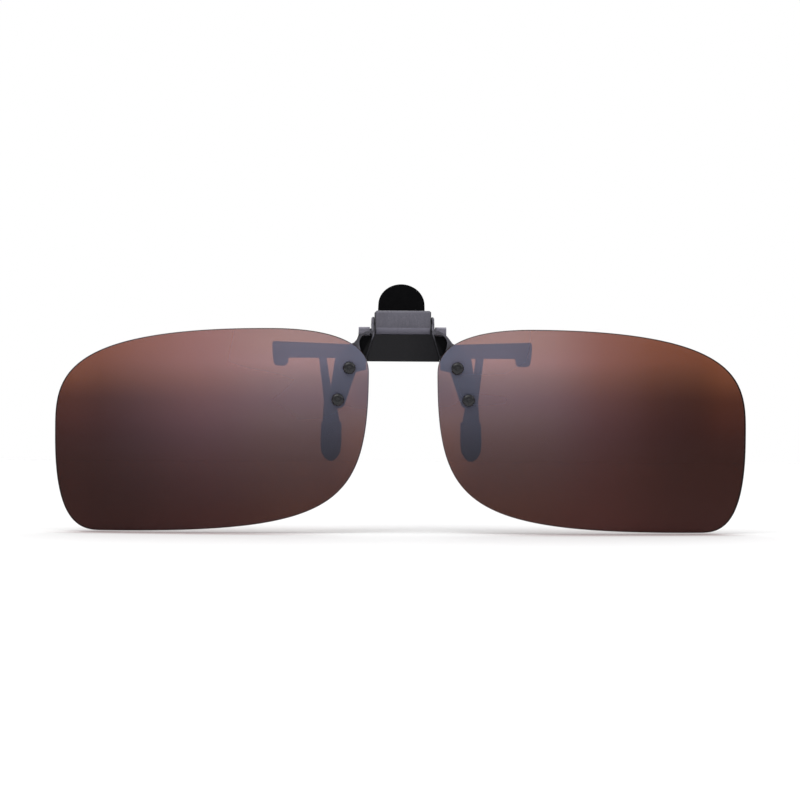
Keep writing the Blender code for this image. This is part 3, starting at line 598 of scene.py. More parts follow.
def lens_tint_with_painted_light(name):
    """Brown polarising lens, polished. Painted shadow: the tint let through deepens from the top down
    and in patches. Painted reflection: a faint grey-blue diffuse bloom, strongest by the nose."""
    k = Nodes(name)
    sep = k.add("SeparateXYZ")
    k.link(k.coords(), sep.inputs[0])
    down = k.rng(sep.outputs["Z"], LENS_TOP_Z, LENS_LOW_Z, 0.0, 1.0)
    wave = k.math('MULTIPLY', k.math('SUBTRACT', k.noise(30.0, 2.0, 0.5), 0.5), 0.04)
    down = k.math('ADD', down, wave)
    across = k.rng(sep.outputs["X"], -0.0665, 0.0665, 0.0, 1.0)
    off = k.math('ABSOLUTE', sep.outputs["X"])
    # what one of the two faces lets through, darkening downwards as painted shadow: paler by the nose, browner outwards
    nose = k.ramp(down, [(0.0, (0.485, 0.310, 0.195)), (0.08, (0.480, 0.308, 0.200)), (0.163, (0.472, 0.300, 0.222)),
                         (0.25, (0.390, 0.260, 0.200)), (0.348, (0.318, 0.196, 0.155)), (0.446, (0.286, 0.176, 0.114)),
                         (0.546, (0.250, 0.141, 0.070)), (0.644, (0.232, 0.132, 0.082)), (0.742, (0.228, 0.130, 0.092)),
                         (1.0, (0.240, 0.145, 0.125))])
    outer = k.ramp(down, [(0.0, (0.468, 0.262, 0.165)), (0.08, (0.452, 0.251, 0.160)), (0.163, (0.436, 0.242, 0.156)),
                          (0.25, (0.372, 0.209, 0.136)), (0.348, (0.300, 0.160, 0.110)), (0.446, (0.263, 0.140, 0.108)),
                          (0.546, (0.237, 0.126, 0.102)), (0.644, (0.226, 0.118, 0.094)), (0.742, (0.220, 0.115, 0.094)),
                          (1.0, (0.226, 0.128, 0.118))])
    clear = k.mix(k.rng(off, 0.020, 0.040, 0.0, 1.0, True), nose, outer)
    # painted light and shade in the tint let through: darker towards the outer ends, a paler band near both outer
    # edges, darker low on the left lens, paler by the nose
    ends = k.rng(off, 0.036, 0.056, 0.0, 1.0, True)
    deep = k.ramp(down, [(0.08, (0.03,) * 3), (0.163, (0.08,) * 3), (0.25, (0.15,) * 3), (0.348, (0.25,) * 3),
                         (0.60, (0.22,) * 3), (1.0, (0.17,) * 3)])
    painted_light_gain = k.math('SUBTRACT', 1.0, k.math('MULTIPLY', ends, deep))
    band = k.ramp(down, [(0.0, (0.3,) * 3), (0.163, (0.35,) * 3), (0.25, (1.0,) * 3), (0.446, (1.0,) * 3),
                         (0.546, (0.4,) * 3), (0.644, (0.0,) * 3)])
    where = k.ramp(across, [(0.03, (1.0,) * 3), (0.065, (0.52,) * 3), (0.137, (0.48,) * 3), (0.208, (0.36,) * 3),
                            (0.28, (0.22,) * 3), (0.35, (0.0,) * 3), (0.895, (0.0,) * 3), (0.93, (0.12,) * 3),
                            (0.967, (1.0,) * 3)])
    low = k.ramp(down, [(0.644, (0.0,) * 3), (0.742, (0.6,) * 3), (0.84, (1.0,) * 3)])
    # painted shade on the nose corner, darker where the grey parts sit close behind
    shade = k.ramp(down, [(0.13, (0.0,) * 3), (0.20, (0.8,) * 3), (0.27, (1.0,) * 3), (0.348, (0.5,) * 3), (0.45, (0.0,) * 3)])
    shade = k.math('MULTIPLY', shade, k.rng(off, 0.0082, 0.0112, 0.17, 0.0, True))
    left = k.ramp(across, [(0.03, (0.5,) * 3), (0.065, (0.95,) * 3), (0.208, (1.0,) * 3), (0.28, (0.7,) * 3),
                           (0.35, (0.1,) * 3), (0.42, (0.0,) * 3)])
    by_nose = k.rng(off, 0.008, 0.015, 1.0, 0.0, True)
    mid = k.ramp(down, [(0.30, (0.0,) * 3), (0.446, (0.6,) * 3), (0.546, (1.0,) * 3), (0.66, (1.0,) * 3), (0.78, (0.3,) * 3)])
    painted_light_gain = k.math('MULTIPLY', painted_light_gain, k.math('ADD', 1.0, k.math('MULTIPLY', k.math('MULTIPLY', band, where), 0.20)))
    painted_light_gain = k.math('MULTIPLY', painted_light_gain, k.math('SUBTRACT', 1.0, k.math('MULTIPLY', k.math('MULTIPLY', low, left), 0.12)))
    painted_light_gain = k.math('MULTIPLY', painted_light_gain, k.math('ADD', 1.0, k.math('MULTIPLY', k.math('MULTIPLY', by_nose, mid), 0.18)))
    painted_light_gain = k.math('MULTIPLY', painted_light_gain, k.math('SUBTRACT', 1.0, shade))
    # painted reflection: the share of the grey-blue diffuse bloom falls off downwards and towards the outer ends
    fall = k.ramp(down, [(0.0, (1.0,) * 3), (0.163, (0.975,) * 3), (0.25, (0.74,) * 3), (0.348, (0.62,) * 3),
                         (0.446, (0.50,) * 3), (0.546, (0.35,) * 3), (0.644, (0.22,) * 3), (0.742, (0.14,) * 3),
                         (0.84, (0.08,) * 3), (0.913, (0.04,) * 3)])
    side = k.ramp(across, [(0.0, (0.14,) * 3), (0.066, (0.22,) * 3), (0.14, (0.45,) * 3), (0.21, (0.68,) * 3),
                           (0.28, (0.87,) * 3), (0.35, (1.0,) * 3), (0.5, (0.97,) * 3), (0.645, (0.94,) * 3),
                           (0.715, (0.76,) * 3), (0.785, (0.38,) * 3), (0.86, (0.15,) * 3), (0.95, (0.06,) * 3)])
    painted_reflection_share = k.math('MULTIPLY', k.math('MULTIPLY', fall, side), 0.225)
    clear_at = k.add("VectorMath", operation='SCALE')
    k.link(clear, clear_at.inputs[0])
    k.link(k.math('DIVIDE', painted_light_gain, k.math('SUBTRACT', 1.0, painted_reflection_share)), clear_at.inputs["Scale"])
    clear = clear_at.outputs[0]
    tr = k.add("BsdfTransparent")
    k.link(clear, tr.inputs["Color"])
    # the grey-blue diffuse layer is a painted reflection of an overhead light
    df = k.add("BsdfDiffuse")
    k.link(k.ramp(down, [(0.0, (0.472, 0.528, 0.762)), (1.0, (0.500, 0.545, 0.770))]), df.inputs["Color"])
    painted_reflection_mix = k.add("MixShader")
    k.link(painted_reflection_share, painted_reflection_mix.inputs[0])
    k.link(tr.outputs[0], painted_reflection_mix.inputs[1])
    k.link(df.outputs[0], painted_reflection_mix.inputs[2])
    lw = k.add("LayerWeight")
    lw.inputs["Blend"].default_value = 0.5
    fres = k.math('ADD', k.math('MULTIPLY', k.math('POWER', lw.outputs["Facing"], 5.0), 0.9), 0.008)
    gl = k.add("BsdfGlossy")
    gl.inputs["Roughness"].default_value = 0.12
    gl.inputs["Color"].default_value = (1, 1, 1, 1)
    top = k.add("MixShader")
    k.link(fres, top.inputs[0])
    k.link(painted_reflection_mix.outputs[0], top.inputs[1])
    k.link(gl.outputs[0], top.inputs[2])
    return k.finish(top.outputs[0])


def lens_rim(name):
    """The lens's polished edge, where the tint is seen through its depth."""
    k = Nodes(name)
    p = k.add("BsdfPrincipled")
    n = k.noise(900.0, 2.0, 0.5)
    k.link(k.ramp(n, [(0.3, (0.030, 0.012, 0.009)), (0.7, (0.050, 0.021, 0.016))]), p.inputs["Base Color"])
    k.link(k.rng(n, 0.3, 0.7, 0.16, 0.30), p.inputs["Roughness"])
    p.inputs["IOR"].default_value = 1.5
    return k.finish(p.outputs[0])


GREY = moulded("grey_moulded", (0.130, 0.125, 0.155), 0.52, grain=0.00026, depth=0.000022)
GREY_LEG = moulded("grey_legs", (0.135, 0.130, 0.158), 0.50, grain=0.00030, depth=0.000014)
# painted shade along the edges of the block, claw and bracket; painted light on the block's lower band and the claw's
# lugs; painted shade at the block's ends and in the bracket's pockets
GREY_BLOCK = moulded("grey_block", (0.122, 0.117, 0.147), 0.52, grain=0.00026, depth=0.000022, edge_wear_and_shade=-0.8, painted_light_band=(0.00662, 0.00650, 1.85), seam_shade_band=(0.00508, 0.00528))
GREY_CLAW = moulded("grey_claw", (0.135, 0.130, 0.158), 0.50, grain=0.00030, depth=0.000014, edge_wear_and_shade=-0.7, painted_light_band=(0.0050, 0.0058, 1.9))
GREY_BRACKET = moulded("grey_bracket", (0.130, 0.125, 0.155), 0.52, grain=0.00026, depth=0.000022, edge_wear_and_shade=-0.8, strip=True)


def satin_black(name):
    """The bar's satin black, with painted shade: darker and matt in the pockets at its ends, less shiny towards the +X
    end.
    """
    k = Nodes(name)
    p = k.add("BsdfPrincipled")
    fine = k.noise(1 / 0.00030, 3.0, 0.6)
    base = k.ramp(fine, [(0.32, (0.0058, 0.0056, 0.0070)), (0.68, (0.0082, 0.0079, 0.0098))])
    sep = k.add("SeparateXYZ")
    k.link(k.coords(), sep.inputs[0])
    # painted shade: the pockets at the bar's ends go darker and matt
    pocket_shade_mask = k.rng(k.math('ADD', k.math('ABSOLUTE', sep.outputs["X"]), k.math('MULTIPLY', sep.outputs["Z"], 0.54)),
                0.0083, 0.0089, 0.0, 1.0)
    base = k.mix(k.math('MULTIPLY', pocket_shade_mask, 0.7), base, (0.002, 0.002, 0.0025))
    # painted shade in crevices and between parts
    k.link(painted_crevice_shade(k, base), p.inputs["Base Color"])
    # painted shade: less shine towards the +X end, so that side reads darker
    along = k.rng(sep.outputs["X"], 0.0005, 0.0065, 0.27, 0.16)
    k.link(k.mix(pocket_shade_mask, along, k.rng(fine, 0.3, 0.7, 0.05, 0.07)), p.inputs["Specular IOR Level"])
    k.link(k.rng(fine, 0.25, 0.75, 0.36, 0.50), p.inputs["Roughness"])
    k.link(k.bump(fine, 0.55, 0.000008), p.inputs["Normal"])
    p.inputs["IOR"].default_value = 1.46
    return k.finish(p.outputs[0])


BLACK = satin_black("black_satin")
PAD = rubber("black_rubber", (0.0022, 0.0022, 0.0026), 0.85, sheen=0.0, spec=0.05)
SLEEVE = rubber("grey_rubber", (0.120, 0.116, 0.138), 0.62, grain=0.00022, sheen=0.10)
# painted shade along the rivets' rims
RIVET = moulded("black_rivet", (0.008, 0.008, 0.010), 0.27, grain=0.00042, depth=0.000045, edge_wear_and_shade=-0.6)
STEEL = metal("steel", (0.60, 0.60, 0.62), 0.26)
TINT = lens_tint_with_painted_light("brown_tint")
RIM = lens_rim("brown_rim")

# ====================================================== dimensions, as the CAD
LENS_MID_Z = -13.15
LENS_TOP = (25.0, 19.45)
LENS_OUTER = (66.5, -1.3)
LENS_BOTTOM = (57.8, -19.3)
LENS_NASAL = (6.55, 11.1)
LENS_T, LENS_Y0, LENS_CX, LENS_RH, LENS_RV = 1.0, -9.75, 36.5, 130.0, 350.0
LENS_WRAP = math.tan(math.radians(6.0))
FLIP_Y, FLIP_Z, EAR_R, EAR_IN, EAR_OUT, AXLE_R = -4.6, 7.2, 1.5, 5.47, 6.02, 0.5
BLK_HALF, BLK_FRONT, BLK_BACK, BLK_BOTTOM, BLK_TOP = 5.35, -6.8, -0.95, 5.35, 9.85
BLK_BEVEL_Z, BLK_BEVEL_Y, BLK_WALL = 6.55, -6.4, 0.9
SKIRT_HALF, SKIRT_FRONT, SKIRT_BACK, SKIRT_Z = 5.0, -4.6, -3.3, 0.9
BAR_FRONT, BAR_BACK_TOP, BAR_BACK_LOW = -8.2, -7.25, -6.2
BAR_TOP, BAR_LOW, BAR_TOP_HALF, BAR_LOW_HALF = 5.22, 0.1, 5.45, 7.0
BR_T, BR_GAP = 1.1, 0.08
RIVET_UP, RIVET_LOW = (10.3, -1.2), (12.45, -7.25)
RIVET_R, RIVET_HEAD_R, RIVET_HEAD_H, RIVET_HOLE = 0.62, 1.2, 0.72, 0.7
CLAW_FRONT, CLAW_BACK, CLAW_TIP_X, HOOK_IN_X = -3.15, -2.05, 24.9, 21.9
CLAW_TOP, CLAW_LOW, HOOK_LOW = 3.95, 0.75, -0.75
LUG_IN, LUG_OUT, LUG_TOP, PAD_BACK = 6.3, 8.4, 6.75, -0.6
FRAME_FRONT, FRAME_BACK = -1.95, -0.85
JAW_Y, JAW_Z, JAW_PIN_R = 1.7, 5.35, 0.5
LUG2_IN, LUG2_OUT, LUG2_R = 6.25, 7.75, 1.25
BARREL_R, BARREL_OUT = 1.3, 6.1
TAB_LEAN, TAB_LEN, TAB_HALF, TAB_T = math.radians(24.0), 9.7, 3.65, 1.0
THUMB_HALF, THUMB_WALL, THUMB_LEN = 4.5, 0.55, 6.4
LEG_T, LEG_TIP_Z, SLEEVE_TOP, SLEEVE_TIP, SLEEVE_T, SLEEVE_Y = 1.1, -17.6, -11.5, -19.3, 2.2, 1.7
FR_X, FR_Z = 3.4, 3.1


# ====================================================================== lenses
def bezier(a, b, c, d, n):
    out = []
    for i in range(n):
        t = i / n
        s = 1 - t
        out.append(tuple(s ** 3 * a[k] + 3 * s * s * t * b[k] + 3 * s * t * t * c[k] + t ** 3 * d[k]
                         for k in range(2)))
    return out


def lens_outline(n):
    t, o, b, m = LENS_TOP, LENS_OUTER, LENS_BOTTOM, LENS_NASAL
    pts = bezier(t, (t[0] + 42.8, t[1]), (o[0], o[1] + 10.0), o, 90)
    pts += bezier(o, (o[0], o[1] - 16.2), (b[0] + 4.2, b[1]), b, 90)
    pts += bezier(b, (b[0] - 45.1, b[1]), (m[0], m[1] - 26.2), m, 90)
    pts += bezier(m, (m[0], m[1] + 6.2), (t[0] - 10.5, t[1]), t, 90)
    return even([(x, z + LENS_MID_Z) for x, z in pts], n)


def lens_front(x, z):
    d, h = x - LENS_CX, z - LENS_MID_Z
    return LENS_Y0 + LENS_WRAP * d + d * d / (2 * LENS_RH) + h * h / (2 * LENS_RV)


def lens_back(x, z):
    return lens_front(x, z) + LENS_T


def lens_normal(x, z):
    return Vector((LENS_WRAP + (x - LENS_CX) / LENS_RH, -1.0, (z - LENS_MID_Z) / LENS_RV)).normalized()


def make_lens(side):
    sx = 1 if side == "right" else -1
    holes = [circle(*RIVET_UP, RIVET_HOLE, 28), circle(*RIVET_LOW, RIVET_HOLE, 28)]
    bm = plate(lens_outline(260), holes, lens_front, lens_back, grid=2.4, margin=0.9, edge=0.16, steps=3)
    if sx < 0:
        mirror_x(bm)
    ob = to_object("lens_%s_fine" % side, bm, TINT)
    me = ob.data
    me.materials.append(RIM)
    me.shade_smooth()
    # true normals on the two optical faces; the rim keeps its own
    normals = []
    for p in me.polygons:
        up = lens_normal(abs(p.center.x) / MM, p.center.z / MM)
        up = Vector((up.x * sx, up.y, up.z))
        d = p.normal.dot(up)
        face = 1 if d > 0.985 else -1 if d < -0.985 else 0
        if not face:
            p.material_index = 1
        for li in p.loop_indices:
            co = me.vertices[me.loops[li].vertex_index].co / MM
            q = lens_normal(abs(co.x), co.z)
            q = Vector((q.x * sx, q.y, q.z))
            normals.append(q * face if face else Vector((0, 0, 0)))
    me.normals_split_custom_set(normals)
    return settle(ob, "lens_carrier", "lens_" + side)


for side in ("right", "left"):
    make_lens(side)


# ============================================================== lens brackets
def bracket_front(x, z):
    f = min(1.0, max(0.0, (x - 6.6) / 2.6))
    f = f * f * (3 - 2 * f)
    return (lens_back(x, z) + BR_GAP) * f + (BAR_FRONT + 0.02) * (1 - f)


def bracket_back(x, z):
    return bracket_front(x, z) + BR_T


ARM_TOP = [(5.56, 6.02), (6.3, 6.0), (7.1, 5.8), (7.8, 5.42), (8.4, 4.9), (8.95, 4.2),
           (9.6, 3.4), (10.9, 2.45), (12.2, 1.5), (12.95, 0.6)]


def slant(z):
    return BAR_TOP_HALF + (BAR_LOW_HALF - BAR_TOP_HALF) * (BAR_TOP - z) / (BAR_TOP - BAR_LOW)


POCKET_IN = [(slant(1.2) + 0.36, 1.2), (slant(2.2) + 0.36, 2.2), (slant(3.7) + 0.36, 3.7), (slant(5.15) + 0.38, 5.15)]
POCKET_OUT = [(6.2, 5.5), (6.9, 5.45), (7.6, 5.1), (8.1, 4.6), (8.4, 3.75), (8.3, 2.8), (7.98, 1.95), (7.6, 1.3)]


def bracket_outline():
    pts = through(ARM_TOP + [(13.35, -1.9), (13.7, -4.3), (14.0, -6.6)], m=6)
    pts += arc(RIVET_LOW[0], RIVET_LOW[1] - 0.1, 1.55, 10, -150, 18)
    pts += through([(10.35, -5.9), (9.45, -3.2), (9.0, -1.95)], m=5)
    pts += round_corners([(9.2, -1.6), (7.05, -1.6), (slant(0.1) + 0.1, 0.1)], 0.35, 4)[6:-6]
    pts += [(slant(0.1) + 0.1, 0.1), (slant(1.4) + 0.1, 1.4), (slant(2.6) + 0.1, 2.6),
            (slant(3.9) + 0.1, 3.9), (5.56, BAR_TOP)]
    return pts


def make_bracket(side):
    sx = 1 if side == "right" else -1
    f = (lambda b: b) if sx > 0 else mirror_x
    holes = [circle(*RIVET_UP, RIVET_HOLE, 28), circle(*RIVET_LOW, RIVET_HOLE, 28), dense(POCKET_IN, 0.25, False) + through(POCKET_OUT, False, 5)]
    bm = plate(bracket_outline(), holes, bracket_front, bracket_back, grid=0.9, margin=0.4, edge=0)
    ob = to_object("lens_bracket_%s_fine" % side, f(bm), GREY_BRACKET)
    eye = arc(FLIP_Y, FLIP_Z, EAR_R - 0.28, -55, 160, 28)
    web = [(-7.6, 6.05), (-8.15, 5.8), (-8.15, 5.3), (-7.0, 5.3), (-5.9, 5.55)]
    boolean(ob, f(prism("X", eye + web, EAR_IN + 0.01, EAR_OUT - 0.02)), 'UNION')
    r = EAR_R
    rim = [(EAR_IN, 0), (EAR_IN, r - 0.12), (EAR_IN + 0.04, r - 0.04), (EAR_IN + 0.12, r)]
    rim += [(EAR_OUT - 0.36 + 0.36 * math.sin(math.radians(a)), r - 0.36 + 0.36 * math.cos(math.radians(a)))
            for a in range(0, 91, 9)] + [(EAR_OUT, 0)]
    boolean(ob, f(spin(rim, (0, FLIP_Y, FLIP_Z), (1, 0, 0), 64)), 'UNION')
    boolean(ob, f(prism("X", circle(FLIP_Y, FLIP_Z, AXLE_R + 0.03, 40), 5.2, 6.4)))
    soften(ob, 0.11, 3, 34)
    return settle(ob, "lens_carrier", "lens_bracket_" + side)


for side in ("right", "left"):
    make_bracket(side)


# ===================================================================== rivets
def rivet_profile(x, z):
    """Pressed dome with a small dimple and a rim, shank, and low back head."""
    front, back = lens_front(x, z), bracket_back(x, z)
    g, r, h = 0.15, RIVET_HEAD_R, RIVET_HEAD_H
    f = front - g
    pts = [(f - h * 0.86, 0.0), (f - h * 0.88, 0.12), (f - h * 0.97, 0.26), (f - h, 0.38)]
    for i in range(1, 13):
        a = math.radians(71 - 71 * i / 12)
        pts.append((f - h * (math.sin(a) ** 0.85) - 0.0, 0.38 + (r - 0.38) * math.cos(a) ** 0.9 if i < 12 else r))
    pts += [(f, r - 0.01), (f, RIVET_R), (back + g, RIVET_R), (back + g, 0.98), (back + g + 0.06, 1.02),
            (back + g + 0.2, 0.98), (back + g + 0.34, 0.80), (back + g + 0.42, 0.55), (back + g + 0.42, 0.0)]
    return pts


for label, (rx, rz) in (("upper", RIVET_UP), ("lower", RIVET_LOW)):
    for side, sx in (("right", 1), ("left", -1)):
        ob = to_object("rivet_%s_%s_fine" % (label, side), spin(rivet_profile(rx, rz), (sx * rx, 0, rz), (0, 1, 0), 44),
                       RIVET, smooth=42)
        settle(ob, "lens_carrier", "rivet_%s_%s" % (label, side))

# ================================================================= bridge bar
bm = bmesh.new()
rings = []
for z, half, back in ((BAR_TOP, BAR_TOP_HALF, BAR_BACK_TOP), (BAR_LOW, BAR_LOW_HALF, BAR_BACK_LOW)):
    rings.append([bm.verts.new(p) for p in ((-half, BAR_FRONT, z), (half, BAR_FRONT, z),
                                            (half, back, z), (-half, back, z))])
for k in range(4):
    bm.faces.new((rings[0][k], rings[0][(k + 1) % 4], rings[1][(k + 1) % 4], rings[1][k]))
bm.faces.new(rings[0])
bm.faces.new(rings[1])
bridge = to_object("flip_bridge_fine", bm, BLACK)
for s in (1, -1):
    # black wings behind the bracket's pockets: dark material put there so the pockets read as deep shade
    pocket_shade_wing = [(4.9, 0.42), (7.75, 0.42), (8.1, 0.9), (8.85, 2.6), (8.8, 4.2), (8.2, 5.0), (5.8, 5.0), (4.9, 4.0)]
    pocket_shade_wing = [(s * x, z) for x, z in (pocket_shade_wing if s > 0 else reversed(pocket_shade_wing))]
    boolean(bridge, prism("Y", pocket_shade_wing, -6.9, -6.3), 'UNION')
soften(bridge, 0.14, 4)
settle(bridge, "lens_carrier", "flip_bridge")

# ============================================================ flip axle and cam
L = 6.08
axle = to_object("flip_axle_fine", spin([(-L, 0), (-L, 0.22), (-L + 0.03, 0.34), (-L + 0.08, 0.44), (-L + 0.15, AXLE_R),
                                         (L - 0.15, AXLE_R), (L - 0.08, 0.44), (L - 0.03, 0.34), (L, 0.22), (L, 0)],
                                        (0, FLIP_Y, FLIP_Z), (1, 0, 0), 40), STEEL, smooth=50)
settle(axle, "lens_carrier", "flip_axle")
h = 0.72
cam_sq = round_corners([(FLIP_Y - h, FLIP_Z - h), (FLIP_Y + h, FLIP_Z - h),
                        (FLIP_Y + h, FLIP_Z + h), (FLIP_Y - h, FLIP_Z + h)], 0.3, 5)
cam = to_object("flip_cam_fine", prism("X", cam_sq, -2.5, 2.5), STEEL)
boolean(cam, prism("X", circle(FLIP_Y, FLIP_Z, AXLE_R + 0.03, 40), -4, 4))
soften(cam, 0.05, 2, 40)
settle(cam, "lens_carrier", "flip_cam")

# ======================================================================= block
e = 0.55
shell = [(SKIRT_BACK, SKIRT_Z), (SKIRT_BACK, BLK_BOTTOM), (BLK_BACK, BLK_BOTTOM), (BLK_BACK, BLK_TOP - 0.3),
         (BLK_BACK - 0.3, BLK_TOP)]
shell += arc(BLK_FRONT + e, BLK_TOP - e, e, 90, 180, 8)
shell += [(BLK_FRONT, BLK_BEVEL_Z), (BLK_BEVEL_Y, BLK_BOTTOM), (SKIRT_FRONT, BLK_BOTTOM), (SKIRT_FRONT, SKIRT_Z)]
housing = to_object("front_housing_fine", prism("X", shell, -BLK_HALF, BLK_HALF), GREY_BLOCK)
for s in (1, -1):
    boolean(housing, prism("X", [(-7.5, 0), (0, 0), (0, BLK_BOTTOM - 0.02), (-7.5, BLK_BOTTOM - 0.02)],
                           min(s * SKIRT_HALF, s * 7), max(s * SKIRT_HALF, s * 7)))
w = BLK_WALL
boolean(housing, prism("X", round_corners([(BLK_FRONT + w, BLK_BOTTOM + w), (BLK_BACK + 1, BLK_BOTTOM + w),
                                           (BLK_BACK + 1, BLK_TOP - w), (BLK_FRONT + w, BLK_TOP - w)], 0.2, 3),
                       -(BLK_HALF - w), BLK_HALF - w))
boolean(housing, prism("X", circle(FLIP_Y, FLIP_Z, AXLE_R + 0.06, 40), -7, 7))
for s in (1, -1):
    boolean(housing, prism("Y", circle(s * FR_X, FR_Z, 0.62, 32), -6, -3))
for s in (1, -1):
    wedge = [(s * (BLK_HALF - 0.8), BLK_TOP + 0.5), (s * (BLK_HALF + 0.5), BLK_TOP + 0.5), (s * (BLK_HALF + 0.5), BLK_TOP - 0.8)]
    boolean(housing, prism("Y", wedge if s < 0 else wedge[::-1], -9, 2))
soften(housing, 0.13, 4, 32, 14)
settle(housing, "front_clip", "front_housing")

# ================================================================== claw plate
half = [(8.0, CLAW_LOW), (HOOK_IN_X - 0.2, CLAW_LOW + 0.05), (HOOK_IN_X, CLAW_LOW - 0.15),
        (HOOK_IN_X, -0.15), (HOOK_IN_X + 0.6, HOOK_LOW), (CLAW_TIP_X - 0.75, HOOK_LOW),
        (CLAW_TIP_X - 0.2, -0.2), (CLAW_TIP_X + 0.05, 1.7), (CLAW_TIP_X + 0.1, 3.65),
        (CLAW_TIP_X - 0.2, CLAW_TOP), (10.2, 3.45), (9.3, 3.75), (8.75, 4.4), (LUG_OUT + 0.05, 5.2),
        (LUG_OUT, LUG_TOP - 0.25), (LUG_OUT - 0.25, LUG_TOP), (LUG_IN + 0.25, LUG_TOP), (LUG_IN, LUG_TOP - 0.25),
        (LUG_IN, BLK_BOTTOM - 0.3)]
outline = half + [(-x, z) for x, z in reversed(half)]
claw = to_object("claw_plate_fine", prism("Y", round_corners(outline, 0.4, 4), CLAW_FRONT, CLAW_BACK), GREY_CLAW)
LUG_FRONT, LUG_LOW = -4.3, 4.7
for s in (1, -1):
    a, b = sorted((s * LUG_IN, s * LUG_OUT))
    knuckle = [(CLAW_BACK, LUG_LOW), (CLAW_BACK, LUG_TOP), (LUG_FRONT + 0.3, LUG_TOP), (LUG_FRONT, LUG_TOP - 0.3),
               (LUG_FRONT, LUG_LOW + 0.6), (CLAW_FRONT - 0.2, LUG_LOW)]
    boolean(claw, prism("X", knuckle, a, b), 'UNION')
for s in (1, -1):
    boolean(claw, prism("Y", circle(s * FR_X, FR_Z, 0.62, 32), -6, 0))
soften(claw, 0.14, 3, 34)
settle(claw, "front_clip", "claw_plate")

# pads on the hooks' backs, slightly cushioned with three shallow grooves
for side, sx in (("right", 1), ("left", -1)):
    pts = round_corners([(HOOK_IN_X + 0.2, HOOK_LOW + 0.1), (CLAW_TIP_X - 0.25, HOOK_LOW + 0.1),
                         (CLAW_TIP_X - 0.1, 3.3), (HOOK_IN_X + 0.2, 3.3)], 0.5, 6)
    bm = prism("Y", pts, CLAW_BACK + 0.06, PAD_BACK)
    if sx < 0:
        mirror_x(bm)
    ob = to_object("hook_pad_%s_fine" % side, bm, SLEEVE)
    for z in (0.45, 1.3, 2.15):
        lo, hi = sorted((sx * 21.5, sx * 25.2))
        boolean(ob, prism("X", circle(PAD_BACK + 0.12, z, 0.24, 16), lo, hi))
    soften(ob, 0.12, 3, 30)
    settle(ob, "front_clip", "hook_pad_" + side)

# ================================================================= hinge frame
base = [(5.9, 0.95), (5.9, 3.4), (LUG2_OUT, 4.2), (LUG2_OUT, 6.4), (5.6, 6.4), (5.6, 5.1), (-5.6, 5.1), (-5.6, 6.4),
        (-LUG2_OUT, 6.4), (-LUG2_OUT, 4.2), (-5.9, 3.4), (-5.9, 0.95)]
hf = to_object("hinge_frame_fine", prism("Y", base, FRAME_FRONT, FRAME_BACK), GREY)
for s in (1, -1):
    boolean(hf, prism("Y", circle(s * FR_X, FR_Z, 0.62, 32), -6, 0))
    lug = [(FRAME_BACK - 0.5, 4.3)] + arc(JAW_Y, JAW_Z, LUG2_R, -70, 110, 26) + [(FRAME_BACK - 0.5, 6.3)]
    lo, hi = sorted((s * LUG2_IN, s * LUG2_OUT))
    boolean(hf, prism("X", lug, lo, hi), 'UNION')
boolean(hf, prism("X", circle(JAW_Y, JAW_Z, JAW_PIN_R + 0.03, 40), -9, 9))
soften(hf, 0.12, 3, 30)
settle(hf, "front_clip", "hinge_frame")

for side, sx in (("right", 1), ("left", -1)):
    a, b = SKIRT_FRONT - 0.07, FRAME_BACK + 0.07
    prof = [(a - 0.42, 0), (a - 0.42, 0.3), (a - 0.38, 0.55), (a - 0.28, 0.78), (a - 0.14, 0.92), (a - 0.03, 0.95), (a, 0.93),
            (a, 0.55), (b, 0.55), (b, 0.93), (b + 0.03, 0.95), (b + 0.14, 0.92), (b + 0.28, 0.78), (b + 0.38, 0.55),
            (b + 0.42, 0.3), (b + 0.42, 0)]
    ob = to_object("frame_rivet_%s_fine" % side, spin(prof, (sx * FR_X, 0, FR_Z), (0, 1, 0), 40), STEEL, smooth=42)
    settle(ob, "front_clip", "frame_rivet_" + side)

P = LUG2_OUT + 0.25
pin = to_object("jaw_pin_fine", spin([(-P, 0), (-P, 0.24), (-P + 0.03, 0.36), (-P + 0.09, 0.45), (-P + 0.16, JAW_PIN_R),
                                      (P - 0.16, JAW_PIN_R), (P - 0.09, 0.45), (P - 0.03, 0.36), (P, 0.24), (P, 0)],
                                     (0, JAW_Y, JAW_Z), (1, 0, 0), 40), STEEL, smooth=50)
settle(pin, "front_clip", "jaw_pin")


# =================================================================== jaw lever
def on_tab(bm):
    rot = Matrix.Translation((0, JAW_Y, JAW_Z)) @ Matrix.Rotation(-TAB_LEAN, 4, 'X')
    bmesh.ops.transform(bm, matrix=rot, verts=bm.verts)
    return bm


prof = [(0.55, 1.35), (3.25, 1.35), (3.25, JAW_Z - 0.4)]
prof += arc(JAW_Y, JAW_Z, BARREL_R, 0, 180, 26)
prof += [(0.4, JAW_Z - 0.6), (0.45, 4.4)]
lever = to_object("jaw_lever_fine", prism("X", prof, -BARREL_OUT, BARREL_OUT), GREY)
boolean(lever, on_tab(prism("Y", [(-TAB_HALF, 0.2), (TAB_HALF, 0.2), (TAB_HALF, TAB_LEN - TAB_HALF)]
                            + arc(0, TAB_LEN - TAB_HALF, TAB_HALF, 8, 172, 30) + [(-TAB_HALF, TAB_LEN - TAB_HALF)],
                            -TAB_T / 2, TAB_T / 2)), 'UNION')
boolean(lever, prism("X", [(-0.6, 3.6), (3.05, 3.6)] + arc(JAW_Y, JAW_Z, 1.75, -20, 70, 16)
                     + [(1.0, 7.3), (-0.6, 7.3)], -2.3, 2.3))
for s in (1, -1):
    lo, hi = sorted((s * 0.55, s * 7))
    boolean(lever, prism("X", [(1.25, 0), (2.55, 0), (2.55, 3.3), (1.25, 3.3)], lo, hi))
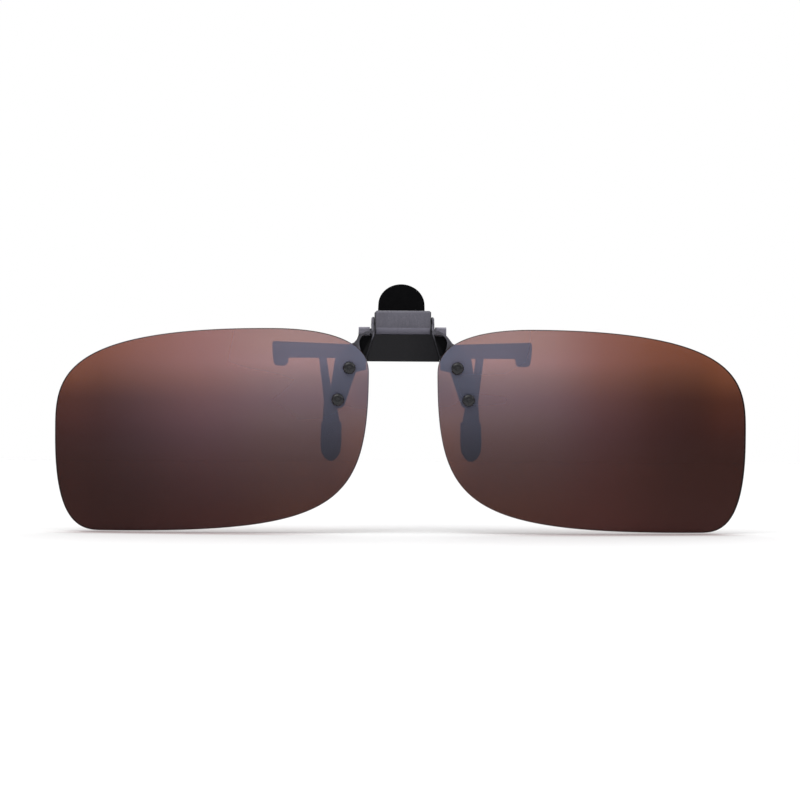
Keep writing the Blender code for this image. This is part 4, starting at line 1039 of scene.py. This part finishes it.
boolean(lever, prism("X", circle(JAW_Y, JAW_Z, JAW_PIN_R + 0.06, 40), -9, 9))
soften(lever, 0.12, 3, 30)
settle(lever, "rear_jaw", "jaw_lever")


# =================================================================== thumb pad
def thumb(half, length, t, low, n=40):
    return prism("Y", [(-half, low), (half, low), (half, length - half)]
                 + arc(0, length - half, half, 6, 174, n) + [(-half, length - half)], -t / 2, t / 2)


top_t = TAB_LEN + 0.15 + THUMB_WALL
pad_t = TAB_T + 2 * THUMB_WALL + 0.2
pad = to_object("thumb_pad_fine", on_tab(thumb(THUMB_HALF, top_t, pad_t, top_t - THUMB_LEN)), PAD)
boolean(pad, on_tab(thumb(TAB_HALF + 0.1, TAB_LEN + 0.1, TAB_T + 0.2, -1.0)))
# grip grooves across the back
for i in range(5):
    t = top_t - THUMB_LEN + 0.9 + 0.95 * i
    hw = THUMB_HALF - 0.75 if t < top_t - THUMB_HALF else \
        math.sqrt(max(0.3, (THUMB_HALF - 0.75) ** 2 - (t - top_t + THUMB_HALF) ** 2))
    groove = prism("X", circle(pad_t / 2 + 0.07, t, 0.26, 20), -hw, hw)
    boolean(pad, on_tab(groove))
soften(pad, 0.22, 4, 30)
settle(pad, "rear_jaw", "thumb_pad")


# ======================================================================== legs
def leg_mid(z):
    f = min(1.0, max(0.0, (1.0 - z) / 10.0))
    f = f * f * (3 - 2 * f)
    return 1.9 * (1 - f) + SLEEVE_Y * f


LEG = [(0.65, 1.75), (0.65, 3.2), (15.6, 3.2), (16.1, 2.7), (15.95, 0.7), (15.35, -4.0), (14.95, -7.5),
       (15.2, -11.2), (15.1, -14.5), (14.75, -16.6), (13.6, LEG_TIP_Z), (12.35, -16.6), (12.05, -14.5),
       (11.95, -11.2), (12.45, -8.5), (13.4, -5.6), (14.0, -2.5), (14.45, 0.7), (14.2, 1.75)]


def make_leg(side):
    ol = dense(round_corners(LEG, [0.15, 0.15, 0.8, 0.8, 2, 4, 3, 3, 2, 1, 0.6, 1, 2, 3, 3, 4, 4, 1.2, 0.6], 6), 0.8)
    bm = plate(ol, [], lambda x, z: leg_mid(z) - LEG_T / 2, lambda x, z: leg_mid(z) + LEG_T / 2,
               grid=0.9, margin=0.45, edge=0)
    if side == "left":
        mirror_x(bm)
    ob = to_object("rear_leg_%s_fine" % side, bm, GREY_LEG)
    soften(ob, 0.15, 3, 40)
    return settle(ob, "rear_jaw", "rear_leg_" + side)


for side in ("right", "left"):
    make_leg(side)

SLEEVE_OUT = [(11.55, SLEEVE_TOP), (15.45, SLEEVE_TOP), (15.6, -15.5), (15.45, -17.4), (14.71, -18.6),
              (13.55, SLEEVE_TIP), (12.49, -18.6), (11.75, -17.4), (11.55, -15.5)]
SLEEVE_ROOM = [(11.8, SLEEVE_TOP + 1), (15.35, SLEEVE_TOP + 1), (15.22, -14.6), (14.88, -16.75),
               (13.6, LEG_TIP_Z - 0.15), (12.22, -16.75), (11.93, -14.6)]


def make_sleeve(side):
    f = (lambda b: b) if side == "right" else mirror_x
    ol = round_corners(SLEEVE_OUT, [0.25, 0.25, 2, 1.4, 1.2, 0.9, 1.2, 1.4, 2], 6)
    ob = to_object("leg_sleeve_%s_fine" % side, f(prism("Y", ol, SLEEVE_Y - SLEEVE_T / 2, SLEEVE_Y + SLEEVE_T / 2)), SLEEVE)
    boolean(ob, f(prism("Y", SLEEVE_ROOM, SLEEVE_Y - LEG_T / 2 - 0.07, SLEEVE_Y + LEG_T / 2 + 0.07)))
    soften(ob, 0.4, 5, 34)
    return settle(ob, "rear_jaw", "leg_sleeve_" + side)


for side in ("right", "left"):
    make_sleeve(side)

# ================================================================== jaw spring
COIL_R, WIRE_R, TURNS, PITCH = 0.85, 0.15, 7, 0.5
x0 = -TURNS * PITCH / 2
a_start, a_end = math.radians(215), math.radians(90) - TAB_LEAN + math.radians(-35)
total = 2 * math.pi * TURNS + (a_end - a_start) % (2 * math.pi)
steps = int(total / (2 * math.pi) * 36)
coil = []
for i in range(steps + 1):
    a = a_start + total * i / steps
    coil.append((x0 + PITCH * TURNS * i / steps, JAW_Y + COIL_R * math.cos(a), JAW_Z + COIL_R * math.sin(a)))
first, last = Vector(coil[0]), Vector(coil[-1])
d0 = (first - Vector(coil[1])).normalized()
d1 = (last - Vector(coil[-2])).normalized()
pts = [tuple(first + Vector((0, d0.y, d0.z)) * s) for s in (1.0, 0.66, 0.33)] + coil \
    + [tuple(last + Vector((0, d1.y, d1.z)) * s) for s in (0.4, 0.8, 1.2)]
spring = to_object("jaw_spring_fine", tube(pts, WIRE_R, 14), STEEL, smooth=50)
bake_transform(spring)
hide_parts("jaw_spring")

# ============================================================== detent spring
low_z = FLIP_Z + 0.72 + 0.04 + 0.07
roof_z = BLK_TOP - BLK_WALL - 0.05 - 0.07
strip = []
n = 24
for i in range(n + 1):
    t = -1 + 2 * i / n
    strip.append((FLIP_Y + 1.15 * t, low_z + (roof_z - low_z) * t * t))
strip = [(y, z - 0.07) for y, z in strip] + [(y, z + 0.07) for y, z in reversed(strip)]
leaf = to_object("detent_spring_fine", prism("X", strip, -1.9, 1.9), STEEL, smooth=40)
settle(leaf, "front_clip", "detent_spring")

# ======================================================= floor, light, camera
FLOOR_Z = -0.0328


def floor_material():
    k = Nodes("pale_floor")
    p = k.add("BsdfPrincipled")
    n = k.noise(14.0, 3.0, 0.5)
    base = k.ramp(n, [(0.3, (0.905, 0.905, 0.91)), (0.7, (0.92, 0.92, 0.92))])
    contact_shadow_ao = k.add("AmbientOcclusion", samples=12)
    contact_shadow_ao.inputs["Distance"].default_value = 0.009
    # painted shadow: the floor darkens to a faint pink tone close under the object, for the contact shadow and the
    # light come through the lens
    k.link(k.mix(k.rng(contact_shadow_ao.outputs["AO"], 0.55, 0.97, 0.85, 0.0), base, (0.46, 0.335, 0.34)), p.inputs["Base Color"])
    p.inputs["Roughness"].default_value = 0.8
    p.inputs["Specular IOR Level"].default_value = 0.1
    return k.finish(p.outputs[0])


bm = bmesh.new()
HALF_FLOOR, N_FLOOR = 0.7, 8
for i in range(N_FLOOR + 1):
    for j in range(N_FLOOR + 1):
        bm.verts.new((-HALF_FLOOR + 2 * HALF_FLOOR * i / N_FLOOR, -HALF_FLOOR + 2 * HALF_FLOOR * j / N_FLOOR, FLOOR_Z))
bm.verts.ensure_lookup_table()
for i in range(N_FLOOR):
    for j in range(N_FLOOR):
        a = i * (N_FLOOR + 1) + j
        bm.faces.new((bm.verts[a], bm.verts[a + N_FLOOR + 1], bm.verts[a + N_FLOOR + 2], bm.verts[a + 1]))
me = bpy.data.meshes.new("floor")
bm.to_mesh(me)
bm.free()
me.materials.append(floor_material())
floor = bpy.data.objects.new("floor", me)
col.objects.link(floor)
floor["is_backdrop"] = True


def area(name, loc, target, size, power, colour=(1, 1, 1)):
    d = bpy.data.lights.new(name, 'AREA')
    d.shape = 'RECTANGLE'
    d.size, d.size_y = size
    d.energy = power
    d.color = colour
    o = bpy.data.objects.new(name, d)
    o.location = loc
    o.rotation_euler = (Vector(target) - Vector(loc)).to_track_quat('-Z', 'Y').to_euler()
    col.objects.link(o)
    return o


area("key_softbox", (-0.30, -0.45, 0.80), (0, 0, 0), (0.8, 0.6), 3.8, (1.0, 0.995, 0.985))
area("fill_softbox", (0.80, -0.35, 0.55), (0, 0, 0), (0.6, 0.6), 1.3, (0.97, 0.98, 1.0))
area("back_softbox", (0.1, 0.75, 0.55), (0, 0, 0), (0.8, 0.5), 1.5, (1.0, 1.0, 1.0))

# soft white surround, bright overhead and dimmer towards the sides
world = bpy.data.worlds.new("studio")
bpy.context.scene.world = world
world.use_nodes = True
wt = world.node_tree
wt.nodes.clear()
out = wt.nodes.new("ShaderNodeOutputWorld")
seen = wt.nodes.new("ShaderNodeBackground")
seen.inputs["Color"].default_value = (1, 1, 1, 1)
seen.inputs["Strength"].default_value = 1.0
lit = wt.nodes.new("ShaderNodeBackground")
tc = wt.nodes.new("ShaderNodeTexCoord")
sp = wt.nodes.new("ShaderNodeSeparateXYZ")
wt.links.new(tc.outputs["Generated"], sp.inputs[0])
rp = wt.nodes.new("ShaderNodeValToRGB")
rp.color_ramp.elements[0].position = 0.0
rp.color_ramp.elements[0].color = (0.34, 0.34, 0.35, 1)
rp.color_ramp.elements[1].position = 1.0
rp.color_ramp.elements[1].color = (1.0, 1.0, 1.0, 1)
mr = wt.nodes.new("ShaderNodeMapRange")
mr.inputs[1].default_value, mr.inputs[2].default_value = 0.0, 0.75
wt.links.new(sp.outputs["Z"], mr.inputs[0])
wt.links.new(mr.outputs[0], rp.inputs["Fac"])
wt.links.new(rp.outputs["Color"], lit.inputs["Color"])
lit.inputs["Strength"].default_value = 0.89
lp = wt.nodes.new("ShaderNodeLightPath")
mx = wt.nodes.new("ShaderNodeMixShader")
wt.links.new(lp.outputs["Is Camera Ray"], mx.inputs[0])
wt.links.new(lit.outputs[0], mx.inputs[1])
wt.links.new(seen.outputs[0], mx.inputs[2])
wt.links.new(mx.outputs[0], out.inputs["Surface"])

# the camera faces the lenses, a touch from the object's left side
cam_data = bpy.data.cameras.new("camera")
cam_data.sensor_width = 36.0
cam_data.lens = 141.8
cam_data.clip_start, cam_data.clip_end = 0.01, 20.0
camera = bpy.data.objects.new("camera", cam_data)
col.objects.link(camera)
DIST, YAW, ROLL = 0.600, math.radians(2.0), math.radians(0.35)
AIM = Vector((-0.0006, -0.0093, -0.00724))
ahead = Vector((math.sin(YAW), math.cos(YAW), 0))
right, up = Vector((math.cos(YAW), -math.sin(YAW), 0)), Vector((0, 0, 1))
r2 = right * math.cos(ROLL) + up * math.sin(ROLL)
u2 = up * math.cos(ROLL) - right * math.sin(ROLL)
turn = Matrix((r2, u2, -ahead)).transposed()
camera.matrix_world = Matrix.Translation(AIM - ahead * DIST) @ turn.to_4x4()
bpy.context.scene.camera = camera
bpy.context.scene.view_settings.view_transform = 'Standard'
bpy.context.scene.view_settings.look = 'None'

lo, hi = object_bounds()
